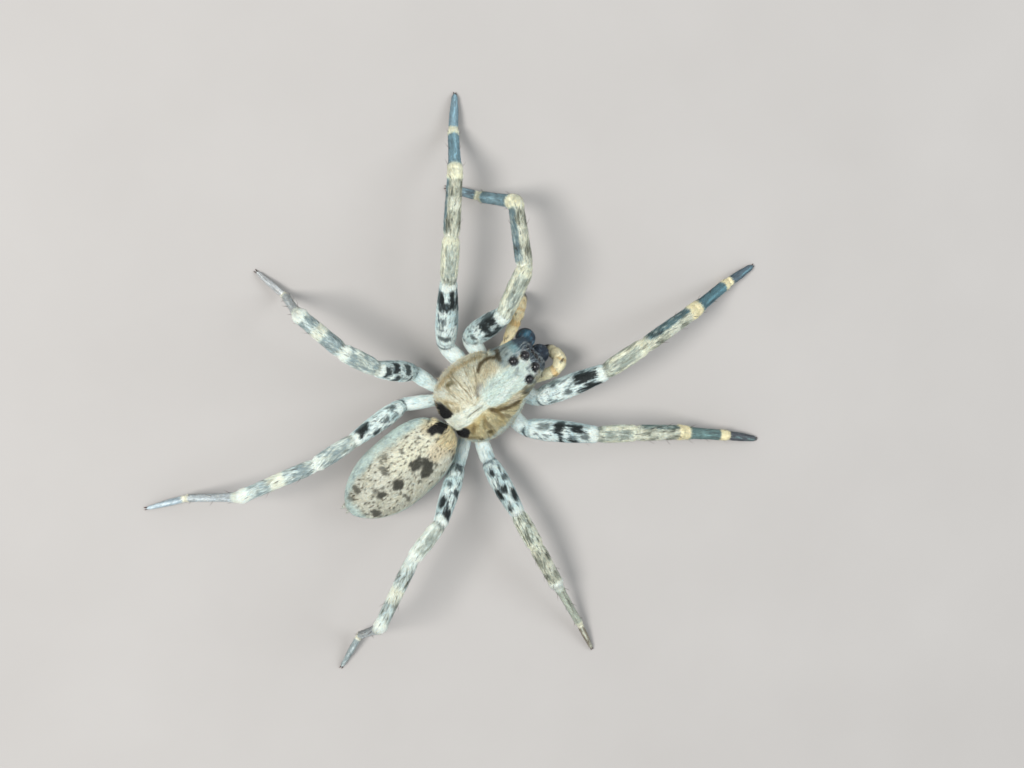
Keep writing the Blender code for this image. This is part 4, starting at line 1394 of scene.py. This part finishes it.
def unwrap(chart, groups):
    """Places on a flat chart: each group of solids has its own strip, round by along."""
    spread = np.full((len(chart.points), 2), 0.5)
    for strip, group in enumerate(groups):
        here = np.isin(chart.names(), group)
        if not here.any():
            continue
        body, turn, share = chart.body[here], chart.turn[here], chart.share[here]
        limb = group[0].rsplit("_", 1)[0]
        if limb == "chelicera":
            turn = np.arctan2(body[:, 1] - JAW_AXIS[1] * side_of(group[0]), body[:, 0] - JAW_AXIS[0])
            share = (body[:, 2] - JAW_FOOT) / JAW_HEIGHT
        elif limb in LIMBS:
            share = (chart.part[here] + np.clip(share, 0, 1)) / (len(LIMBS[limb]) - 1)
        else:
            share = (share - share.min()) / max(np.ptp(share), 1e-6)
        spread[here, 0] = 0.01 + 0.98 * (turn / (2 * math.pi) + 0.5)
        spread[here, 1] = (strip + 0.02 + 0.96 * np.clip(share, 0, 1)) / len(groups)
    return spread


def plant(name, chart, groups, corners, kind, tone):
    """Joins hairs into one piece of coat, from arrays; each hair is a patch on the OFBake map."""
    pattern, patch, shade = kind
    count, each = len(corners), len(shade)
    points = corners.reshape(-1, 3)
    points[:, 2] = np.maximum(points[:, 2], 0.0)
    faces = (pattern[None] + (np.arange(count) * each)[:, None, None]).reshape(-1, 3)
    uv = (unwrap(chart, groups)[:, None, :] + patch[None] * PATCH).reshape(-1, 2)
    mesh = bpy.data.meshes.new(name)
    mesh.vertices.add(len(points))
    mesh.vertices.foreach_set("co", (points * MM).astype(np.float32).ravel())
    mesh.loops.add(faces.size)
    mesh.loops.foreach_set("vertex_index", faces.astype(np.int32).ravel())
    mesh.polygons.add(len(faces))
    mesh.polygons.foreach_set("loop_start", np.arange(0, faces.size, 3, dtype=np.int32))
    mesh.polygons.foreach_set("loop_total", np.full(len(faces), 3, np.int32))
    mesh.update(calc_edges=True)
    layer = mesh.uv_layers.new(name="OFBake")
    layer.data.foreach_set("uv", uv[faces.ravel()].astype(np.float32).ravel())
    piece = bpy.data.objects.new(name, mesh)
    bpy.context.scene.collection.objects.link(piece)
    give_tint(piece, (tone[:, None, :] * shade[None, :, None]).reshape(-1, 3), COAT_GAIN)
    mesh.materials.append(hair_material)
    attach(piece, "root")


def flat_on(normal, way):
    """A way made to lie along the skin."""
    return unit(way - normal * np.sum(way * normal, axis=1, keepdims=True))


def combed(lie, normal, angle, lift):
    """Hairs turned on the skin by an angle, then lifted from it, in radians."""
    cos, sin = np.cos(angle)[:, None], np.sin(angle)[:, None]
    lie = lie * cos + np.cross(normal, lie) * sin
    return lie * np.cos(lift)[:, None] + normal * np.sin(lift)[:, None]


def lie_of(chart, normal):
    """Which way the coat lies at each root: along the limbs, out and ahead on the carapace, else back."""
    x, y, z = chart.body.T
    names = chart.names()
    none, ones = np.zeros(len(x)), np.ones(len(x))
    lie = chart.along.copy()
    out = unit(np.stack([x - np.clip(x, -3.2, -0.9), y + 1e-4, none], axis=1) + 1e-6)
    ahead = np.maximum(smooth(0.5, 2.2, x), 1 - smooth(0.45, 1.15, np.abs(y)))[:, None]
    shell = names == "carapace"
    lie[shell] = unit(out * (1 - ahead) + np.array([1.0, 0.0, -0.1]) * ahead)[shell]
    back = np.stack([-ones, 0.25 * np.tanh(y / 0.5), -0.15 * ones], axis=1)
    front = np.stack([0.8 * ones, 0.25 * y, 0.9 * (z - 4.0)], axis=1)
    turn = smooth(-5.95, -5.45, x)[:, None]
    sack = names == "abdomen"
    lie[sack] = unit(back * (1 - turn) + front * turn)[sack]
    lie[np.char.startswith(names, "chelicera")] = (0.15, 0.0, -1.0)
    lie[np.isin(names, ("spinnerets", "sternum", "pedicel"))] = (-1.0, 0.0, 0.0)
    return flat_on(normal, lie)


# Hair length and width in mm, and hairs to the square mm: along a leg from coxa to tarsus, then elsewhere.
LEG_COAT = np.array([
    (0.30, 0.036, 210), (0.30, 0.038, 280), (0.28, 0.036, 280), (0.32, 0.034, 270), (0.24, 0.028, 300),
    (0.20, 0.024, 330),
])
COAT = {
    "palp": (0.26, 0.028, 280), "carapace": (0.28, 0.034, 330), "abdomen": (0.22, 0.034, 320),
    "chelicera": (0.20, 0.026, 320), "sternum": (0.40, 0.034, 170), "other": (0.24, 0.028, 160),
}


def coat_sizes(chart):
    """Hair length, width and number to the square mm at each point."""
    sizes = np.empty((len(chart.points), 3))
    for _, limb, here in chart.solids():
        if limb in POSE:
            sizes[here] = LEG_COAT[chart.part[here]]
        else:
            sizes[here] = COAT["palp" if limb in PALPS else limb if limb in COAT else "other"]
    return sizes


def skin_triangles():
    mesh = skin.data
    mesh.calc_loop_triangles()
    corners = np.empty(len(mesh.loop_triangles) * 3, np.int32)
    mesh.loop_triangles.foreach_get("vertices", corners)
    return corners.reshape(-1, 3)


FACES = skin_triangles()
SKIN_POINTS, SKIN_NORMALS = places(skin), normals(skin)
FACE_START, FACE_LEFT, FACE_RIGHT = (SKIN_POINTS[FACES[:, corner]] for corner in range(3))
FACE_AREA = 0.5 * np.linalg.norm(np.cross(FACE_LEFT - FACE_START, FACE_RIGHT - FACE_START), axis=1)
DENSITY = coat_sizes(skin_chart)[:, 2]
for _, _, eye_distance in eye_distances(skin_chart.body):
    DENSITY *= smooth(1.12, 1.40, eye_distance)  # bare on the eyes and right beside them


def sow(groups, chosen=None, share=1.0):
    """Scatters hair roots over the groups' solids, where chosen(x, y, z) says: their chart and normals."""
    numbers = [SOLID_NAMES.index(name) for group in groups for name in group]
    mask = np.isin(skin_owner[FACES[:, 0]], numbers)
    if chosen:
        mask &= chosen(*skin_chart.body[FACES[:, 0]].T)
    faces = FACES[mask]
    wanted = FACE_AREA[mask] * DENSITY[faces].mean(axis=1) * share
    count = np.floor(wanted + rng.random(len(wanted))).astype(int)
    faces = np.repeat(faces, count, axis=0)
    a, b = rng.random(len(faces)), rng.random(len(faces))
    flip = a + b > 1
    a, b = np.where(flip, 1 - a, a), np.where(flip, 1 - b, b)
    weight = np.stack([1 - a - b, a, b], axis=1)[:, :, None]
    roots = (SKIN_POINTS[faces] * weight).sum(axis=1)
    normal = unit((SKIN_NORMALS[faces] * weight).sum(axis=1))
    return Chart(roots, skin_owner[faces[:, 0]]), normal


def vary(colour, amount):
    """Hairs differ a little in depth and warmth, and a few are pale or dark."""
    count = len(colour)
    depth = 1.0 + amount * rng.standard_normal(count)
    warm = 0.03 * rng.standard_normal(count)
    odd = rng.random(count)
    depth = np.where(odd < 0.07, depth * 1.12, np.where(odd > 0.95, depth * 0.74, depth))
    shift = np.stack([1 + warm, np.ones(count), 1 - warm], axis=1)
    return colour * np.clip(depth, 0.35, 1.4)[:, None] * shift


def about(size, spread, count):
    """Sizes drawn evenly from spread / 2 below to spread / 2 above the given one, as a share of it."""
    return size * ((1.0 - spread / 2) + spread * rng.random(count))


def grow_coat(name, groups, chosen=None):
    """Covers solids with short hairs, lying close."""
    chart, normal = sow(groups, chosen)
    count = len(normal)
    length, width, _ = coat_sizes(chart).T
    head = (chart.names() == "carapace") * smooth(2.0, 3.2, chart.body[:, 0])
    length = about(length * (1 - 0.40 * head), 0.6, count)
    width = about(width * (1 - 0.2 * head), 0.4, count)
    comb = (grain(chart.points, 0.8, 81) - 0.5) * 0.9 + (grain(chart.points, 0.25, 83) - 0.5) * 0.5
    angle = comb + 0.16 * rng.standard_normal(count)
    lift = np.radians(7.0 + 12.0 * rng.random(count))
    lift = np.where(chart.points[:, 2] < 0.35, lift * 0.5, lift)
    lie = combed(lie_of(chart, normal), normal, angle, lift)
    corners = short_hairs(chart.points, lie, normal, length, width)
    plant(name, chart, groups, corners, SHORT_HAIR, vary(paint(chart), 0.06))


def grow_fringe(name, solid, chosen, way, share, length, width, lift, droop, tone):
    """Long separate hairs over part of a solid: chosen(x, y, z) says where, way(x, y) which way they lie."""
    chart, normal = sow([[solid]], chosen, share)
    count = len(normal)
    angle = 0.22 * rng.standard_normal(count)
    rise = np.radians(about(lift, 0.6, count))
    x, y, _ = chart.body.T
    ways = np.zeros((count, 3)) + np.stack(np.broadcast_arrays(*way(x, y)), axis=-1)
    lie = combed(flat_on(normal, ways), normal, angle, rise)
    length, width = about(length, 0.6, count), about(width, 0.4, count)
    corners = long_hairs(chart.points, lie, normal, length, width, droop)
    plant(name, chart, [[solid]], corners, LONG_HAIR, vary(np.tile(np.array(tone, float), (count, 1)), 0.10))


hair_material = tinted_material("coat", 0.45, 0.86, 1.08, 9000.0, 0.48, 0.00001, 30000.0)
BACK_HEIGHT = 3.6  # the coat's seam round the abdomen
for leg in POSE:
    grow_coat(f"coat_{leg}", [solids_of(leg)])
grow_coat("coat_thorax", [["carapace"]])
grow_coat("coat_back", [["abdomen"]], lambda x, y, z: z >= BACK_HEIGHT)
grow_coat("coat_belly", [["abdomen"]], lambda x, y, z: z < BACK_HEIGHT)
grow_coat("coat_palps", [solids_of(palp) for palp in PALPS])
grow_coat("coat_jaws", [["chelicera_l"], ["chelicera_r"], ["labium"]])
grow_coat("coat_breast", [["sternum"], ["pedicel"], ["spinnerets"]])


def on_shoulder(x, y, z):
    return (x > -6.5 + 0.3 * y ** 2) & (z > 3.4) & ((y < 0.30) | (y > 1.4))


def on_edge(x, y, z):
    return (np.abs(y) > 0.80 * station(CARAPACE, 1, x)) & (x < 1.6)


def on_brow(x, y, z):
    return (x > 2.2) & (np.abs(y) < 1.5) & (z > 4.6)


grow_fringe(
    "coat_shoulder_fringe", "abdomen", on_shoulder, lambda x, y: (1.0, 0.12 * y, 0.3),
    share=0.30, length=0.62, width=0.040, lift=20.0, droop=0.50, tone=(208, 196, 160),
)
grow_fringe(
    "coat_edge_fringe", "carapace", on_edge, lambda x, y: (x + 1.6, y * 1.4, -0.6),
    share=0.07, length=0.46, width=0.036, lift=10.0, droop=0.35, tone=(222, 206, 166),
)
grow_fringe(
    "coat_brow", "carapace", on_brow, lambda x, y: (1.0, 0.0, 0.25),
    share=0.10, length=0.32, width=0.020, lift=24.0, droop=0.45, tone=(190, 200, 198),
)

# Spines: length of the leg they stand on, share along it, turn round it in degrees, height in mm.
SPINES = (
    (1, 0.30, -12, 0.75), (1, 0.55, 30, 0.80), (1, 0.58, -38, 0.80), (1, 0.86, 14, 0.75),
    (1, 0.88, -46, 0.70),
    (2, 0.10, 0, 0.55), (2, 0.90, 4, 0.75),
    (3, 0.22, 48, 0.85), (3, 0.24, -50, 0.85), (3, 0.48, 6, 0.80), (3, 0.62, 66, 0.85), (3, 0.66, -66, 0.85),
    (3, 0.90, -30, 0.60),
    (4, 0.14, 70, 0.80), (4, 0.16, -70, 0.80), (4, 0.48, 56, 0.70), (4, 0.50, -56, 0.70), (4, 0.90, 80, 0.50),
    (4, 0.91, -80, 0.50),
)
SPINE_WIDTH, SPINE_DROOP, SPINE_TONE = 0.050, 0.25, (62, 50, 42)


def grow_spines():
    """Stiff dark spines, standing out from the legs towards the feet."""
    roots, tall = [], []
    for leg in POSE:
        here = np.flatnonzero(skin_chart.limb == LIMB_NAMES.index(leg))
        part, share, turn = skin_chart.part[here], skin_chart.share[here], skin_chart.turn[here]
        for spine_part, spine_share, bearing, height in SPINES:
            off = turn_off(turn, math.radians(bearing + 8.0 * rng.standard_normal()))
            near = np.abs(share - spine_share) * 3.0 + off * 0.5 + 50.0 * (part != spine_part)
            roots.append(here[np.argmin(near)])
            tall.append(height * (0.75 + 0.25 * rng.random()))
    chart, normal = Chart(SKIN_POINTS[roots], skin_owner[roots]), SKIN_NORMALS[roots]
    count = len(roots)
    angle = 0.15 * rng.standard_normal(count)
    rise = np.radians(38.0 + 10.0 * rng.standard_normal(count))
    lie = combed(lie_of(chart, normal), normal, angle, rise)
    width = np.full(count, SPINE_WIDTH)
    corners = long_hairs(chart.points, lie, normal, np.array(tall), width, SPINE_DROOP)
    tone = np.tile(np.array(SPINE_TONE, float), (count, 1))
    plant("coat_spines", chart, [solids_of(leg) for leg in POSE], corners, LONG_HAIR, tone)


grow_spines()

# ---- eyes, fangs and claws --------------------------------------------------

# Which way the left eyes look.
FACING = {
    "median": (0.72, 0.42, 0.62), "lateral": (-0.15, 0.78, 0.62),
    "front_median": (1.0, 0.10, 0.12), "front_lateral": (0.94, 0.36, 0.05),
}
EYE_BACK, EYE_DRAWN_IN = -0.15, 0.94  # where the back of an eye starts, in radii, and its share of the size
# Claws: where each hook starts from the foot's end, its radius there, and how far each length leans out;
# then, length by length, how far it runs on, its radius and how far it falls.
CLAW_AHEAD, CLAW_ASIDE, CLAW_ABOVE, CLAW_RADIUS, CLAW_SPLAY = 0.04, 0.07, 0.02, 0.050, 0.012
CLAW_LENGTHS = ((0.09, 0.045, 0.00), (0.08, 0.036, 0.03), (0.06, 0.026, 0.06), (0.04, 0.012, 0.06))


def glass_material():
    """Near-black eye glass, a little browner where the noise is high."""
    material, tree, shader = new_material("eye glass", Roughness=0.06, Coat_Weight=0.12, Coat_Roughness=0.03)
    two_tones(tree, shader, noise(tree, 3500.0, 2.0), (0.002, 0.003, 0.006), (0.010, 0.008, 0.008))
    return material


def horn_material():
    """Dark brown horn, redder and duller where the noise is high."""
    material, tree, shader = new_material("horn")
    fleck = noise(tree, 5000.0, 4.0)
    two_tones(tree, shader, fleck, (0.012, 0.006, 0.004), (0.075, 0.022, 0.010))
    tree.links.new(ranged(tree, fleck, 0.18, 0.34, 0.0, 1.0), shader.inputs["Roughness"])
    return material


def finish_piece(piece, material, slot, *nodes):
    """Shades a piece smooth, brings it to metres, gives it its material and hides the solids it replaces; slot
    is not used.
    """
    select_only(piece)
    bpy.ops.object.shade_smooth()
    set_places(piece, places(piece) * MM)
    piece.data.materials.append(material)
    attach(piece, "root")
    if nodes:
        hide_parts(*nodes)


def make_eye(name, centre, radius, facing):
    """A ball, a little smaller behind its clear front."""
    bpy.ops.object.select_all(action="DESELECT")
    turn = Vector((0.0, 0.0, 1.0)).rotation_difference(Vector(facing).normalized()).to_euler()
    bpy.ops.mesh.primitive_uv_sphere_add(
        segments=36, ring_count=22, radius=radius, location=centre, rotation=turn
    )
    eye = bpy.context.active_object
    eye.name = name
    bpy.ops.object.mode_set(mode="EDIT")
    select_corners(eye, lambda corner: corner.z < EYE_BACK * radius)
    bpy.ops.transform.resize(value=(EYE_DRAWN_IN,) * 3, center_override=centre)
    bpy.ops.object.mode_set(mode="OBJECT")
    apply_transforms(eye)
    return eye


def make_fang(letter, side):
    """A hooked fang: three tapering lengths run together and smoothed."""
    rows = [(Vector(on_frame(x, side * y, z)), radius) for (x, y, z), radius in zip(FANG, FANG_RADII)]
    parts = []
    for (start, wide), (end, narrow) in zip(rows, rows[1:]):
        parts.append(limb_length("fang_form", start, end, ((0.0, wide), (1.0, narrow)), 16, depth=0.0))
    fang = join_pieces(f"fang_hook_{letter}", parts)
    apply_modifier(fang, "REMESH", mode="VOXEL", voxel_size=FANG_VOXEL, adaptivity=0.0)
    apply_modifier(fang, "SMOOTH", factor=0.5, iterations=6)
    return fang


def make_claws():
    """Two small hooks at the end of each foot, curving down to the floor."""
    hooks = []
    for leg in POSE:
        heel, tip = LIMBS[leg][5:]
        along = Vector(tip - heel).normalized()
        out = along.cross(Vector((0.0, 0.0, 1.0))).normalized()
        for side in (1, -1):
            place = Vector(tip) + along * CLAW_AHEAD + out * (CLAW_ASIDE * side) + Vector((0, 0, CLAW_ABOVE))
            size = CLAW_RADIUS
            hooks.append(start_ring("claw", place, along, size, 8))
            for step, radius, fall in CLAW_LENGTHS:
                move = along * step - Vector((0, 0, fall)) + out * (CLAW_SPLAY * side)
                place = place + move
                grow = radius / size
                pull_ring(move, (grow, grow, grow), place)
                size = radius
            end_model()
    claws = join_pieces("claws", hooks)
    points = places(claws)
    points[:, 2] = np.maximum(points[:, 2], CLAW_CLEARANCE)
    set_places(claws, points)
    return claws


eye_glass, horn = glass_material(), horn_material()
for row, (x, y, z, radius) in EYES.items():
    for letter, side in (("l", 1), ("r", -1)):
        fx, fy, fz = FACING[row]
        place = Vector(on_frame(x, side * y, z))
        eye = make_eye(f"eye_ball_{row}_{letter}", place, radius, (fx, side * fy, fz))
        finish_piece(eye, eye_glass, "eye", f"eye_{row}_{letter}")
for letter, side in (("l", 1), ("r", -1)):
    finish_piece(make_fang(letter, side), horn, "horn", f"fang_{letter}")
finish_piece(make_claws(), horn, "horn")

# ---- the skin in metres, and the solids hidden ------------------------------

set_places(skin, places(skin) * MM)
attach(skin, "root")
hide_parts(*SOLID_NAMES)
